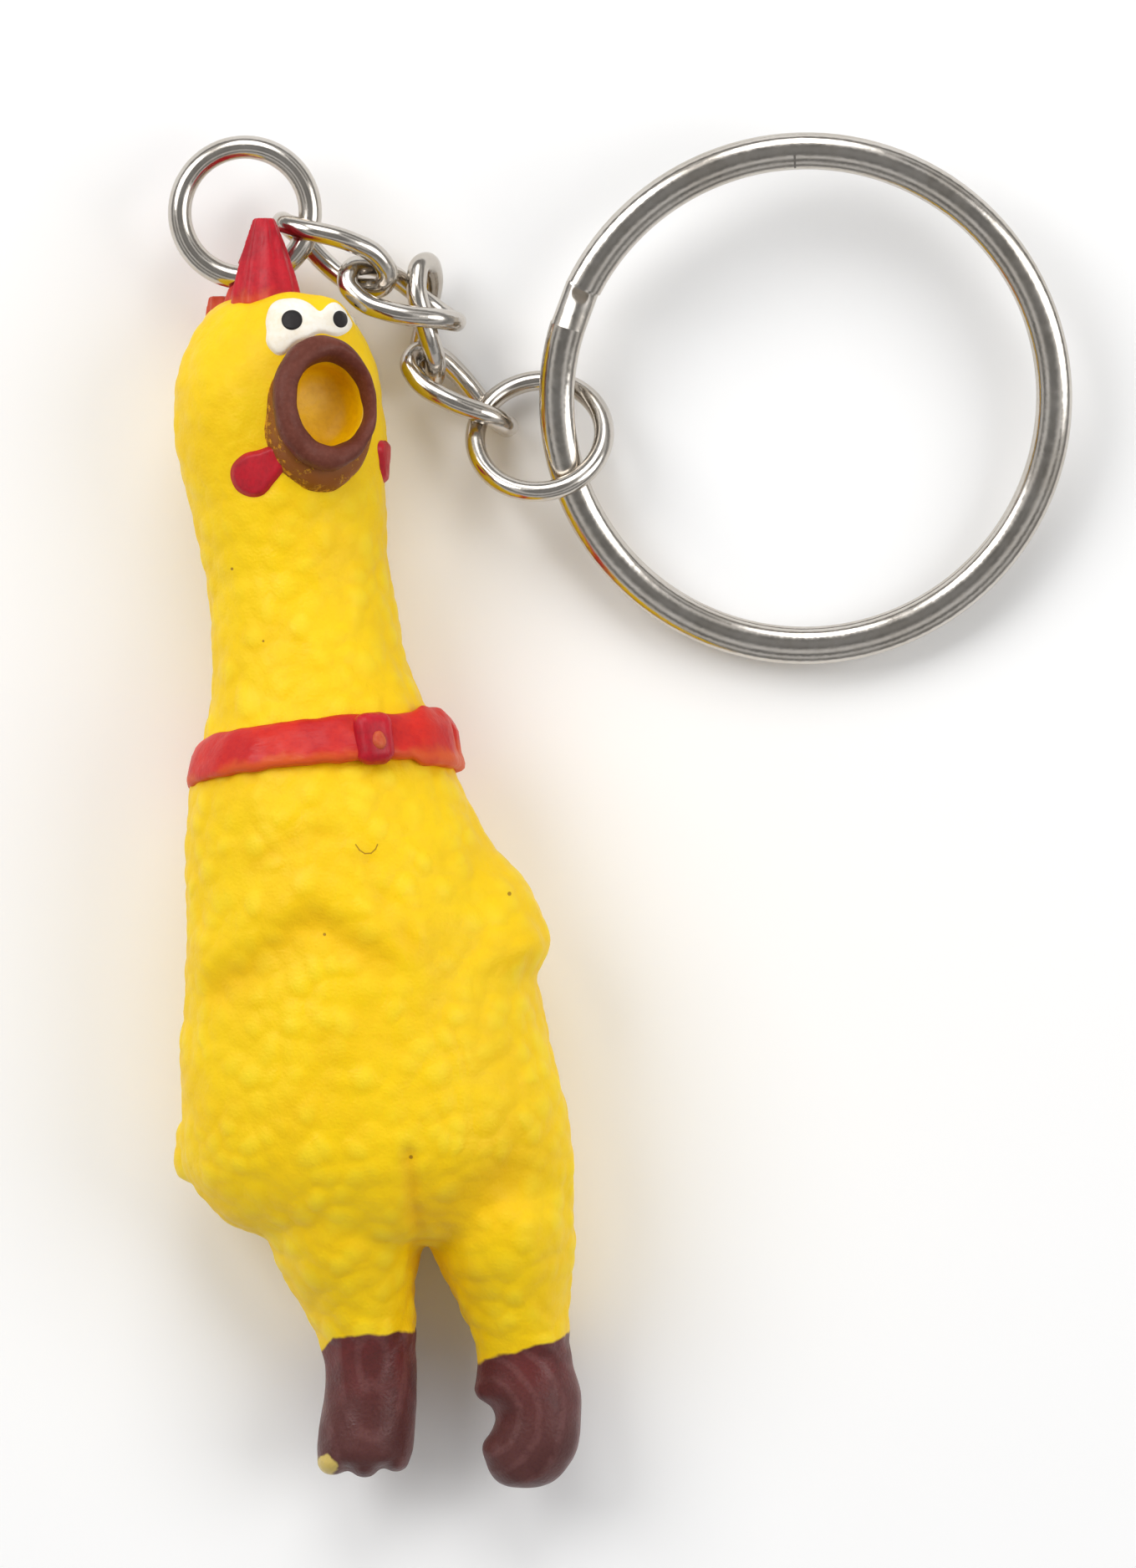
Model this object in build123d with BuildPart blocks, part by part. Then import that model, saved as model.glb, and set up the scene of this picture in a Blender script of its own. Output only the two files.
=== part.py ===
from build123d import *
import os
from math import cos, pi, radians, sin

# Rubber chicken key chain, lying on its back on a flat surface.
# Frame: origin at the middle of the footprint, on the surface. +Y runs from the
# feet to the comb, +X to the chicken's left side and +Z up, away from the surface.
# All sizes are in millimetres. Left and right are the chicken's own.

# ---------------------------------------------------------------- driving sizes
wall = 1.25                     # thickness of the hollow vinyl moulding
moulded_step = 0.6              # height of the wings over the torso
paint_step = 0.3                # height of the painted eyes and wattles
bound = 60.0                    # side of the blocks that trim a form

# Bodies of the chicken as ellipses along Y:
# (y, centre x, half width, centre z, half depth)
torso_stations = [
    (7.2, -17.15, 5.55, 6.6, 5.3),
    (4.5, -16.6, 6.3, 6.85, 5.7),
    (1.3, -16.6, 7.55, 7.15, 6.3),
    (-3.0, -15.4, 8.6, 7.2, 6.85),
    (-8.0, -14.6, 9.4, 7.1, 7.1),
    (-13.7, -14.2, 10.3, 7.2, 7.15),
    (-18.5, -13.6, 10.7, 7.1, 7.05),
    (-22.0, -12.6, 10.0, 6.5, 5.9),
    (-24.6, -11.4, 8.3, 5.9, 4.3),
]
head_stations = [
    (1.5, -16.7, 6.9, 7.0, 6.0),
    (4.5, -16.65, 6.25, 6.85, 5.65),
    (8.0, -17.4, 5.3, 6.5, 5.15),
    (12.5, -18.0, 4.85, 6.1, 4.75),
    (17.0, -18.7, 5.4, 5.95, 5.2),
    (21.5, -19.2, 5.95, 6.0, 5.75),
    (24.8, -19.3, 5.4, 6.1, 5.3),
    (27.2, -19.2, 4.25, 6.1, 4.2),
    (28.7, -19.2, 2.7, 6.1, 2.6),
]
leg_right_stations = [
    (-21.5, -15.9, 5.0, 5.6, 4.9),
    (-24.9, -15.45, 4.25, 5.3, 4.3),
    (-27.2, -15.0, 3.15, 5.0, 3.6),
    (-30.2, -14.0, 2.45, 4.8, 2.9),
]
leg_left_stations = [
    (-21.5, -6.9, 4.9, 5.6, 4.9),
    (-24.9, -6.75, 4.05, 5.3, 4.3),
    (-27.2, -6.05, 3.0, 5.0, 3.6),
    (-30.2, -5.4, 2.5, 4.8, 2.9),
]

# Flex points: a ball on the moving piece turns in a slightly larger socket
neck_flex = (-17.0, 7.0, 6.8)
neck_ball_radius = 6.6
neck_socket_radius = 6.78
hip_right_flex = (-15.2, -27.2, 5.2)
hip_left_flex = (-6.4, -27.2, 5.2)
hip_ball_radius = 4.6
hip_socket_radius = 4.75
crotch_x = -11.0                # plane between the legs
crotch_gap = 0.5

# Face, turned towards the chicken's left
face_turn = 24.0                # degrees from straight up
face_lift = 8.0                 # degrees towards the comb
beak_base_centre = (-17.2, 21.7, 10.3)
beak_rim_centre = (-16.45, 22.6, 12.35)
beak_half_width = 2.95
beak_half_height = 3.7
beak_rim_thickness = 1.5
beak_rim_edge = 0.4             # rounding of the lip
beak_base_depth = 1.0           # how far the cone starts inside the head
beak_base_spread = (0.35, 0.7)  # how much wider and taller the cone is than the lip
beak_neck_step = 0.1            # how much the cone falls short of the lip all round
mouth_half_width = 2.05
mouth_half_height = 2.4
mouth_depth = 3.6
mouth_wall = 0.5

# Hardware
comb_ring_radius = 3.67         # all ring radii are to the wire's centre
comb_ring_wire = 1.32
link_half_length = 3.35
link_half_width = 1.75
link_twist = -35.0            # degrees that a curb link is twisted over half its length
link_wire = 1.16
jump_ring_radius = 3.65
jump_ring_wire = 1.13
split_ring_outside = 30.0
split_ring_width = 1.97         # radial width of the flattened wire
split_ring_coil = 1.15          # thickness of one coil
split_ring_joggle = 9.0         # degrees in which the wire climbs to the upper coil


# ---------------------------------------------------------------- shared forms
def across_y(x, y, z):
    """Plane square to the chicken's length."""
    return Plane(origin=(x, y, z), x_dir=(1, 0, 0), z_dir=(0, 1, 0))


def body_form(stations, growth=0.0):
    """Solid through the ellipses, made larger or smaller all round."""
    with BuildPart() as form:
        for y, x, half_width, z, half_depth in stations:
            with BuildSketch(across_y(x, y, z)):
                Ellipse(half_width + growth, half_depth + growth)
        loft()
    return form.part


def relief(form_core, form_grown, outline, low_z):
    """Thin pad on a form, bounded by an outline seen from above."""
    with BuildPart() as pad:
        with BuildSketch(Plane.XY.offset(low_z)):
            add(outline)
        extrude(amount=bound)
        add(form_grown, mode=Mode.INTERSECT)
        add(form_core, mode=Mode.SUBTRACT)
    return pad


def flex_envelope(centre, radius, towards):
    """Ball at a flex point, joined to all the space on the moving piece's side."""
    with BuildPart() as envelope:
        with Locations(centre):
            Sphere(radius)
        with Locations((centre[0], centre[1] + towards * bound / 2, centre[2])):
            Box(bound, bound, bound)
    return envelope.part


def lie(centre, heading, dip, roll):
    """Where a ring or link lies: heading about Z, dip of its long axis, roll about it."""
    turned = Location((0, 0, 0), (0, 0, heading)) * Location((0, 0, 0), (0, dip, 0))
    return Location(centre) * turned * Location((0, 0, 0), (roll, 0, 0))


torso_form = body_form(torso_stations)
torso_grown = body_form(torso_stations, moulded_step)
head_form = body_form(head_stations)
head_painted = body_form(head_stations, paint_step)
neck_envelope = flex_envelope(neck_flex, neck_ball_radius, 1)

# ---------------------------------------------------------------- hardware places
comb_ring_place = lie((-21.1, 33.55, 4.9), -4, 0, 0)
link_places = [
    lie((-16.1, 31.35, 4.9), -30, 0, 63),
    lie((-12.3, 28.75, 4.45), -23, 13, -58.5),
    lie((-10.95, 27.55, 2.5), -88, 13.5, -90),
    lie((-9.05, 23.55, 2.4), -36, 7.5, -66),
]
jump_ring_place = lie((-4.55, 21.05, 3.3), 0, -6, -29)
split_ring_place = lie((10.42, 23.12, 3.5), -2, 1, 9)


# ---------------------------------------------------------------- torso
hollow_end = (-20.6, -13.1, 10.2, 6.8, 6.5)     # the hollow stops above the hips
torso_hollow = body_form(torso_stations[:-2] + [hollow_end], -wall)

with BuildPart() as torso_shell:
    add(torso_form)
    add(torso_hollow, mode=Mode.SUBTRACT)
    with Locations(neck_flex):
        Sphere(neck_socket_radius, mode=Mode.SUBTRACT)
    with Locations(hip_right_flex, hip_left_flex):
        Sphere(hip_socket_radius, mode=Mode.SUBTRACT)

# Wings: low pads that hug the breast and meet in an arch over the belly
wing_low_z = 3.5
wing_right_outline = [
    (-26.0, -0.9), (-20.8, -0.9), (-17.0, -4.6), (-17.4, -6.2), (-21.8, -9.4), (-26.0, -11.4),
]
wing_left_outline = [
    (-8.6, -0.9), (-12.6, -2.2), (-13.2, -4.6), (-11.4, -7.6), (-7.0, -10.4), (-3.0, -10.2), (-3.0, -2.2),
]
wing_corner = 0.9


def wing(outline):
    """Pad on the torso, bounded by a rounded outline seen from above."""
    with BuildPart() as pad:
        with BuildSketch(Plane.XY.offset(wing_low_z)) as plan:
            with BuildLine():
                Polyline(*outline, close=True)
            make_face()
            fillet(plan.vertices(), wing_corner)
        extrude(amount=bound)
        add(torso_grown, mode=Mode.INTERSECT)
        add(torso_form, mode=Mode.SUBTRACT)
        with Locations(neck_flex):
            Sphere(neck_socket_radius, mode=Mode.SUBTRACT)
    return pad


wing_right = wing(wing_right_outline)
wing_left = wing(wing_left_outline)

# Tail: a blunt cone at the back, which shows beside the right hip
tail_root = (-21.6, -16.9, 4.9)
tail_tip = (-24.6, -20.5, 4.4)
tail_root_radius = 3.3
tail_tip_radius = 0.5
tail_axis = Vector(tail_tip) - Vector(tail_root)

with BuildPart() as tail:
    with BuildSketch(Plane(origin=tail_root, z_dir=tail_axis)):
        Circle(tail_root_radius)
    with BuildSketch(Plane(origin=tail_tip, z_dir=tail_axis)):
        Circle(tail_tip_radius)
    loft()
    add(torso_form, mode=Mode.SUBTRACT)

# Collar: a band round the neck's root, a little higher at the front and on the left
collar_height = 2.6
collar_thickness = 0.75
collar_centre = (-16.9, 3.2, 6.8)
collar_tilt = (-6.0, 0.0, 5.5)
torso_banded = body_form(torso_stations, collar_thickness)

with BuildPart() as collar:
    add(torso_banded)
    with Locations(Location(collar_centre, collar_tilt)):
        Box(bound, collar_height, bound, mode=Mode.INTERSECT)
    add(torso_form, mode=Mode.SUBTRACT)
    with Locations(neck_flex):
        Sphere(neck_socket_radius, mode=Mode.SUBTRACT)

# Buckle with its oval stud, on the front of the collar
buckle_face = Plane(origin=(-13.75, 3.9, 13.0), x_dir=(0.92, 0.08, -0.38), z_dir=(0.38, 0.15, 0.91))
buckle_width = 2.0
buckle_length = 2.7
buckle_height = 1.3
buckle_corner = 0.6
buckle_edge = 0.3
stud_width = 0.85
stud_length = 1.05
stud_height = 0.35
stud_sunk = 0.2

with BuildPart() as collar_buckle:
    with BuildSketch(buckle_face.offset(-buckle_height / 2)):
        RectangleRounded(buckle_width, buckle_length, buckle_corner)
    extrude(amount=buckle_height)
    fillet(collar_buckle.faces().sort_by(Axis.Z)[-1].edges(), buckle_edge)
    with BuildSketch(buckle_face.offset(buckle_height / 2 - stud_sunk)):
        Ellipse(stud_width / 2, stud_length / 2)
    extrude(amount=stud_height)
    add(torso_form, mode=Mode.SUBTRACT)
    add(collar.part, mode=Mode.SUBTRACT)
    with Locations(neck_flex):
        Sphere(neck_socket_radius, mode=Mode.SUBTRACT)

# ---------------------------------------------------------------- head and neck
head_hollow = body_form(head_stations[:-1], -wall)
turn = radians(face_turn)
lift = radians(face_lift)
face_across = (cos(turn), 0, -sin(turn))
face_out = (sin(turn) * cos(lift), sin(lift), cos(turn) * cos(lift))
beak_base_plane = Plane(origin=beak_base_centre, x_dir=face_across, z_dir=face_out)
beak_rim_plane = Plane(origin=beak_rim_centre, x_dir=face_across, z_dir=face_out)
mouth_back_plane = beak_rim_plane.offset(-beak_rim_thickness / 2)

with BuildPart() as mouth_cut:
    with BuildSketch(mouth_back_plane):
        Ellipse(mouth_half_width + mouth_wall, mouth_half_height + mouth_wall)
    extrude(amount=-mouth_depth)

with BuildPart() as head_shell:
    add(head_form)
    add(neck_envelope, mode=Mode.INTERSECT)
    add(head_hollow, mode=Mode.SUBTRACT)
    add(mouth_cut.part, mode=Mode.SUBTRACT)

# Beak: brown lip and the yellow lining of the mouth
with BuildPart() as beak_rim:
    with BuildSketch(mouth_back_plane):
        Ellipse(beak_half_width, beak_half_height)
        Ellipse(mouth_half_width, mouth_half_height, mode=Mode.SUBTRACT)
    extrude(amount=beak_rim_thickness)
    fillet(beak_rim.edges().filter_by(GeomType.ELLIPSE), beak_rim_edge)

air_hole_radius = 0.6
with BuildPart() as mouth_lining:
    add(mouth_cut.part)
    with BuildSketch(mouth_back_plane):
        Ellipse(mouth_half_width, mouth_half_height)
    extrude(amount=-(mouth_depth - mouth_wall), mode=Mode.SUBTRACT)
    with BuildSketch(mouth_back_plane):
        Circle(air_hole_radius)
    extrude(amount=-mouth_depth, mode=Mode.SUBTRACT)

# Eyes: one white patch over both eyes and the bridge, with a black pupil on each
eye_low_z = 6.0
eye_right_centre = (-18.35, 27.2)
eye_left_centre = (-15.9, 27.3)
eye_bridge_centre = (-17.1, 27.0)
eye_corner_centre = (-18.8, 26.1)
eye_right_radius = 1.35
eye_left_half_sizes = (0.85, 1.15)
eye_bridge_size = (1.8, 1.2)
eye_corner_radius = 0.75
pupil_radius = 0.6
pupil_left_half_sizes = (0.39, 0.54)
pupil_step = 0.15               # height of the pupils over the whites
head_pupils = body_form(head_stations, paint_step + pupil_step)

with BuildSketch() as eye_patch:
    with Locations(eye_right_centre):
        Circle(eye_right_radius)
    with Locations(eye_corner_centre):
        Circle(eye_corner_radius)
    with Locations(eye_left_centre):
        Ellipse(*eye_left_half_sizes)
    with Locations(eye_bridge_centre):
        Rectangle(*eye_bridge_size)
eye_whites = relief(head_form, head_painted, eye_patch.sketch, eye_low_z)
with BuildSketch() as pupil_right_spot:
    with Locations(eye_right_centre):
        Circle(pupil_radius)
pupil_right = relief(head_painted, head_pupils, pupil_right_spot.sketch, eye_low_z)
with BuildSketch() as pupil_left_spot:
    with Locations(eye_left_centre):
        Ellipse(*pupil_left_half_sizes)
pupil_left = relief(head_painted, head_pupils, pupil_left_spot.sketch, eye_low_z)

# Mottled cone between the lip and the head
with BuildPart() as beak_base:
    with BuildSketch(beak_base_plane.offset(-beak_base_depth)):
        Ellipse(beak_half_width + beak_base_spread[0], beak_half_height + beak_base_spread[1])
    with BuildSketch(mouth_back_plane):
        Ellipse(beak_half_width - beak_neck_step, beak_half_height - beak_neck_step)
    loft()
    add(head_form, mode=Mode.SUBTRACT)
    add(mouth_cut.part, mode=Mode.SUBTRACT)
    add(eye_whites.part, mode=Mode.SUBTRACT)

# Wattles: a drop of paint-thin relief under each side of the beak
wattle_right_centre = (-20.3, 18.75, 11.0)
wattle_left_centre = (-13.75, 19.5, 8.1)
wattle_radius = 1.25


def wattle(centre):
    """Round patch of relief on the head."""
    with BuildPart() as patch:
        add(head_painted)
        add(head_form, mode=Mode.SUBTRACT)
        with Locations(centre):
            Sphere(wattle_radius, mode=Mode.INTERSECT)
    return patch


wattle_right = wattle(wattle_right_centre)
wattle_left = wattle(wattle_left_centre)

# Comb: a tall front spike, a thick lobe behind it that the ring passes through, and a low
# one down the back of the head.
# Each lobe: base centre, base half sizes, tip centre, tip half sizes
comb_lobes = [
    ((-19.85, 27.6, 7.3), (2.0, 1.9), (-19.95, 33.1, 6.9), (0.55, 0.8)),
    ((-20.9, 27.3, 4.9), (1.7, 2.1), (-20.0, 32.3, 5.0), (0.85, 1.5)),
    ((-21.9, 26.6, 3.2), (1.4, 1.5), (-23.0, 29.4, 2.6), (0.45, 0.5)),
]
comb_hole_radius = 0.92

with BuildPart() as comb:
    for base, base_size, tip, tip_size in comb_lobes:
        with BuildSketch(across_y(base[0], base[1], base[2])):
            Ellipse(*base_size)
        with BuildSketch(across_y(tip[0], tip[1], tip[2])):
            Ellipse(*tip_size)
        loft()
    add(head_form, mode=Mode.SUBTRACT)
    with Locations(comb_ring_place):
        Torus(comb_ring_radius, comb_hole_radius, mode=Mode.SUBTRACT)

# ---------------------------------------------------------------- squeaker
squeaker_place = Plane(origin=(-17.9, 10.2, 6.2), x_dir=(1, 0, 0), z_dir=(0, 1, 0))
barrel_length = 5.4
barrel_radius = 2.8
barrel_bore = 2.2
flange_radius = 3.3
flange_thickness = 0.8
flange_from = 1.6               # distance of the flange from the barrel's end
block_length = 3.6
reed_thickness = 0.2
reed_width = 1.8

with BuildPart() as squeaker_barrel:
    with BuildSketch(squeaker_place):
        Circle(barrel_radius)
    extrude(amount=barrel_length)
    with BuildSketch(squeaker_place.offset(flange_from)):
        Circle(flange_radius)
    extrude(amount=flange_thickness)
    with BuildSketch(squeaker_place):
        Circle(barrel_bore)
    extrude(amount=barrel_length, mode=Mode.SUBTRACT)

with BuildPart() as squeaker_block:
    with BuildSketch(squeaker_place):
        Circle(barrel_bore)
        with Locations((0, -barrel_bore)):
            Rectangle(2 * barrel_bore, 2 * barrel_bore, mode=Mode.SUBTRACT)
    extrude(amount=block_length)

with BuildPart() as squeaker_reed:
    with BuildSketch(squeaker_place):
        with Locations((0, -reed_thickness / 2)):
            Rectangle(reed_width, reed_thickness)
    extrude(amount=block_length)


# ---------------------------------------------------------------- legs and feet
def leg(stations, flex, side):
    """Leg with a round top at the hip, kept on its own side of the crotch."""
    form = body_form(stations)
    envelope = flex_envelope(flex, hip_ball_radius, -1)
    with BuildPart() as limb:
        add(form)
        add(envelope, mode=Mode.INTERSECT)
        with Locations((crotch_x + side * (crotch_gap + bound) / 2, flex[1], flex[2])):
            Box(bound, bound, bound, mode=Mode.INTERSECT)
    return limb


leg_right = leg(leg_right_stations, hip_right_flex, -1)
leg_left = leg(leg_left_stations, hip_left_flex, 1)

ankle_y = -30.2
foot_half_depth = 2.9
foot_centre_z = 4.8

# Right foot, seen from the front: a blunt block with three toes
foot_right_sections = [
    (ankle_y, -14.0, 4.9, 5.8, 2.3),
    (-33.0, -14.05, 5.2, 5.8, 2.0),
    (-36.4, -14.35, 5.5, 5.8, 1.4),
]
toe_radius = 0.95
toe_pitch = 1.8
toe_middle = (-14.35, -36.3, 5.7)

with BuildPart() as foot_right:
    for y, x, width, depth, corner in foot_right_sections:
        with BuildSketch(across_y(x, y, foot_centre_z)):
            RectangleRounded(width, depth, corner)
    loft()
    for toe in (-1, 0, 1):
        with Locations((toe_middle[0] + toe * toe_pitch, toe_middle[1], toe_middle[2])):
            Sphere(toe_radius)

# Left foot, seen from its side: a curled foot with a spur at the back
foot_left_outline = [
    (-7.9, -30.2), (-2.9, -30.2), (-2.2, -33.2), (-2.3, -35.2), (-3.7, -37.4), (-5.4, -38.1),
    (-7.1, -37.4), (-7.6, -36.1), (-6.9, -34.2), (-7.7, -33.5), (-8.2, -31.9),
]
foot_left_corner = 0.35
foot_left_edge = 0.3
with BuildPart() as foot_left:
    with BuildSketch(Plane.XY.offset(foot_centre_z - foot_half_depth)) as profile:
        with BuildLine():
            Polyline(*foot_left_outline, close=True)
        make_face()
        fillet(profile.vertices(), foot_left_corner)
    extrude(amount=2 * foot_half_depth)
    fillet(foot_left.edges().filter_by(GeomType.LINE, reverse=True).group_by(Axis.Z)[-1], foot_left_edge)


# ---------------------------------------------------------------- hardware
def wire_ring(place, radius, wire, cut_from, cut_angle):
    """Round wire ring with a narrow cut where its ends meet."""
    start = place * Location((0, 0, 0), (0, 0, cut_from))
    with BuildPart() as ring:
        with Locations(start):
            Torus(radius, wire / 2, major_angle=360 - cut_angle)
    return ring


# Where each ring's cut starts and how wide it is, in degrees
comb_ring_cut = (-75, 2)
jump_ring_cut = (160, 3)
comb_ring = wire_ring(comb_ring_place, comb_ring_radius, comb_ring_wire, *comb_ring_cut)
jump_ring = wire_ring(jump_ring_place, jump_ring_radius, jump_ring_wire, *jump_ring_cut)


link_corner_count = 10
arc_share = 0.45                # share of each run that the arc at one end may take


def link_corners():
    """Corners of a twisted oval, each outside the wire's centre line."""
    count = link_corner_count
    outside = 1 / cos(pi / count)
    corners = []
    for step in range(count):
        angle = 2 * pi * (step + 0.5) / count
        twist = radians(link_twist) * cos(angle)
        reach = link_half_width * outside * sin(angle)
        corners.append(
            Vector(link_half_length * outside * cos(angle), reach * cos(twist), reach * sin(twist))
        )
    return corners


def tangent_radii(corners):
    """Largest arcs that a closed run of corners leaves room for."""
    radii = []
    for before, corner, after in zip(corners[-1:] + corners[:-1], corners, corners[1:] + corners[:1]):
        run_in = corner - before
        run_out = after - corner
        half_turn = radians(run_in.get_angle(run_out)) / 2
        radii.append(arc_share * min(run_in.length, run_out.length) / sin(half_turn) * cos(half_turn))
    return radii


def curb_link(place):
    """Twisted oval link of round wire."""
    corners = [place * Location(corner) for corner in link_corners()]
    points = [corner.position for corner in corners]
    with BuildPart() as link:
        with BuildLine() as path:
            FilletPolyline(*points, radius=tangent_radii(points), close=True)
        for stretch in path.edges():
            with BuildSketch(Plane(origin=stretch @ 0, z_dir=stretch % 0)):
                Circle(link_wire / 2)
            sweep(path=stretch)
    return link


chain_links = [curb_link(place) for place in link_places]

# Split ring: one flattened wire that runs round twice and climbs between its coils
coil_gap = 0.04
climb_from = 156.0              # degrees round the ring
end_gap = 1.0
notch_angle = 95.0              # shallow line across the upper coil's inner half
notch_size = (0.95, 0.12, 0.3)
coil_radius = (split_ring_outside - split_ring_width) / 2
climb_to = climb_from + split_ring_joggle
coil_level = (split_ring_coil + coil_gap) / 2


def wire_section(angle, level):
    """Section of the flattened wire at an angle round the ring."""
    along = radians(angle)
    plane = Plane(origin=(0, 0, 0), x_dir=(cos(along), sin(along), 0), z_dir=(sin(along), -cos(along), 0))
    with BuildSketch(plane) as section:
        with Locations((coil_radius, level)):
            Ellipse(split_ring_width / 2, split_ring_coil / 2)
    return section.sketch


with BuildPart() as level_ring:
    add(wire_section(climb_to, -coil_level))
    revolve(axis=Axis.Z, revolution_arc=360 - split_ring_joggle)
    add(wire_section(climb_to, coil_level))
    revolve(axis=Axis.Z, revolution_arc=360 - split_ring_joggle - end_gap)
    add(wire_section(climb_from, -coil_level))
    add(wire_section(climb_to, coil_level))
    loft()
    notch_at = Location((0, 0, 0), (0, 0, notch_angle))
    notch_reach = Location((coil_radius - notch_size[0] / 2, 0, split_ring_coil + coil_gap / 2))
    with Locations(notch_at * notch_reach):
        Box(notch_size[0], notch_size[1], 2 * notch_size[2], mode=Mode.SUBTRACT)

with BuildPart() as split_ring:
    with Locations(split_ring_place):
        add(level_ring.part)

# ---------------------------------------------------------------- files
pieces = {
    "torso_shell": torso_shell,
    "wing_left": wing_left,
    "wing_right": wing_right,
    "tail": tail,
    "collar": collar,
    "collar_buckle": collar_buckle,
    "head_shell": head_shell,
    "comb": comb,
    "eye_whites": eye_whites,
    "pupil_left": pupil_left,
    "pupil_right": pupil_right,
    "beak_rim": beak_rim,
    "beak_base": beak_base,
    "mouth_lining": mouth_lining,
    "wattle_left": wattle_left,
    "wattle_right": wattle_right,
    "squeaker_barrel": squeaker_barrel,
    "squeaker_block": squeaker_block,
    "squeaker_reed": squeaker_reed,
    "leg_left": leg_left,
    "leg_right": leg_right,
    "foot_left": foot_left,
    "foot_right": foot_right,
    "comb_ring": comb_ring,
    "jump_ring": jump_ring,
    "split_ring": split_ring,
}
for number, link in enumerate(chain_links, start=1):
    pieces[f"chain_link_{number}"] = link

os.makedirs("parts", exist_ok=True)
for name, piece in pieces.items():
    piece.part.label = name
    export_step(piece.part, f"parts/{name}.step")
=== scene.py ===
import math

import bmesh
import bpy
from mathutils import Matrix, Vector, noise
from mathutils.bvhtree import BVHTree


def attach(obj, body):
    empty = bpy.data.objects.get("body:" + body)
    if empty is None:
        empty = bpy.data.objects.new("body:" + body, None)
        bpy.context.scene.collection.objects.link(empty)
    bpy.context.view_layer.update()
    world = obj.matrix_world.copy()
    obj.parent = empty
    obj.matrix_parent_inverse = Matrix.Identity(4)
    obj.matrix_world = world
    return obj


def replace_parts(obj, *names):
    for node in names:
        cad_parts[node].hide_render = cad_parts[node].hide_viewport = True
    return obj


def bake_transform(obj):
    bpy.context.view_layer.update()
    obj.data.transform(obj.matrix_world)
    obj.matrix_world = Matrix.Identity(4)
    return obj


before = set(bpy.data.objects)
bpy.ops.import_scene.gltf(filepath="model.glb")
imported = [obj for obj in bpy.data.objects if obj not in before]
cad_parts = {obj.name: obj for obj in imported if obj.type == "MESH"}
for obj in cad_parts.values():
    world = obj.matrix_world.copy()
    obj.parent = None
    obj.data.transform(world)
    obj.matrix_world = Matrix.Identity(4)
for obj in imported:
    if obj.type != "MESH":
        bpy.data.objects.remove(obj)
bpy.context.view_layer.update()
mm = 0.001               # sizes below are in millimetres unless a line says otherwise

# A hollow vinyl chicken on a key chain, lying on its back: +Y to the comb, +Z up.
# Left and right are the chicken's own, so its left is at +X.


# Node helpers: one call places a node, sets its inputs and links what feeds it
def addNode(tree, kind, inputs=None, **settings):
    made = tree.nodes.new(kind)
    for key, value in settings.items():
        setattr(made, key, value)
    for key, value in (inputs or {}).items():
        socket = made.inputs[key]
        if isinstance(value, bpy.types.NodeSocket):
            tree.links.new(value, socket)
        else:
            socket.default_value = value
    return made


def calc(tree, operation, first, second=0.0, third=0.0, clamp=False):
    made = addNode(tree, "ShaderNodeMath", operation=operation, use_clamp=clamp)
    for socket, value in zip(made.inputs, (first, second, third)):
        if isinstance(value, bpy.types.NodeSocket):
            tree.links.new(value, socket)
        else:
            socket.default_value = value
    return made.outputs[0]


def mixColour(tree, factor, first, second):
    made = addNode(tree, "ShaderNodeMix", data_type="RGBA")
    for slot, value in ((0, factor), (6, first), (7, second)):
        if isinstance(value, bpy.types.NodeSocket):
            tree.links.new(value, made.inputs[slot])
        else:
            made.inputs[slot].default_value = value
    return made.outputs[2]


def softStep(tree, value, low, high, start=0.0, end=1.0):
    inputs = {"Value": value, "From Min": low, "From Max": high, "To Min": start, "To Max": end}
    return addNode(tree, "ShaderNodeMapRange", inputs, interpolation_type="SMOOTHSTEP").outputs[0]


def placeOn(tree):
    # position in the piece's own space
    return addNode(tree, "ShaderNodeTexCoord").outputs["Object"]


def axesOf(tree, place):
    return addNode(tree, "ShaderNodeSeparateXYZ", {"Vector": place}).outputs


def cloudAt(tree, place, scale, detail):
    inputs = {"Vector": place, "Scale": scale, "Detail": detail}
    return addNode(tree, "ShaderNodeTexNoise", inputs).outputs["Fac"]


def rgb(red, green, blue):
    # a paint colour as seen on screen, turned into the renderer's linear values
    return tuple((c / 255) ** 2.2 for c in (red, green, blue)) + (1.0,)


# Shared effects, each built once
def startGroup(name, inputs, outputs):
    group = bpy.data.node_groups.new(name, "ShaderNodeTree")
    for socketName, kind, value in inputs:
        made = group.interface.new_socket(name=socketName, in_out="INPUT", socket_type="NodeSocket" + kind)
        made.default_value = value
    for socketName, kind in outputs:
        group.interface.new_socket(name=socketName, in_out="OUTPUT", socket_type="NodeSocket" + kind)
    return group, group.nodes.new("NodeGroupInput"), group.nodes.new("NodeGroupOutput")


def makeToneDrift():
    # slow drift of one colour towards another, with finer specks on top
    group, given, result = startGroup(
        "toneDrift",
        [("Colour", "Color", (1, 1, 1, 1)), ("Drift Colour", "Color", (1, 1, 1, 1)),
         ("Scale", "Float", 500.0), ("Amount", "Float", 0.5), ("Speckle", "Float", 0.1)],
        [("Colour", "Color")])
    place = placeOn(group)
    fineScale = calc(group, "MULTIPLY", given.outputs["Scale"], 9.0)
    slowMask = softStep(group, cloudAt(group, place, given.outputs["Scale"], 3.0), 0.38, 0.64)
    fineMask = softStep(group, cloudAt(group, place, fineScale, 2.0), 0.42, 0.7)
    slowPart = calc(group, "MULTIPLY", slowMask, given.outputs["Amount"])
    finePart = calc(group, "MULTIPLY", fineMask, given.outputs["Speckle"])
    both = calc(group, "ADD", slowPart, finePart, clamp=True)
    mixed = mixColour(group, both, given.outputs["Colour"], given.outputs["Drift Colour"])
    group.links.new(mixed, result.inputs["Colour"])
    return group


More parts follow.
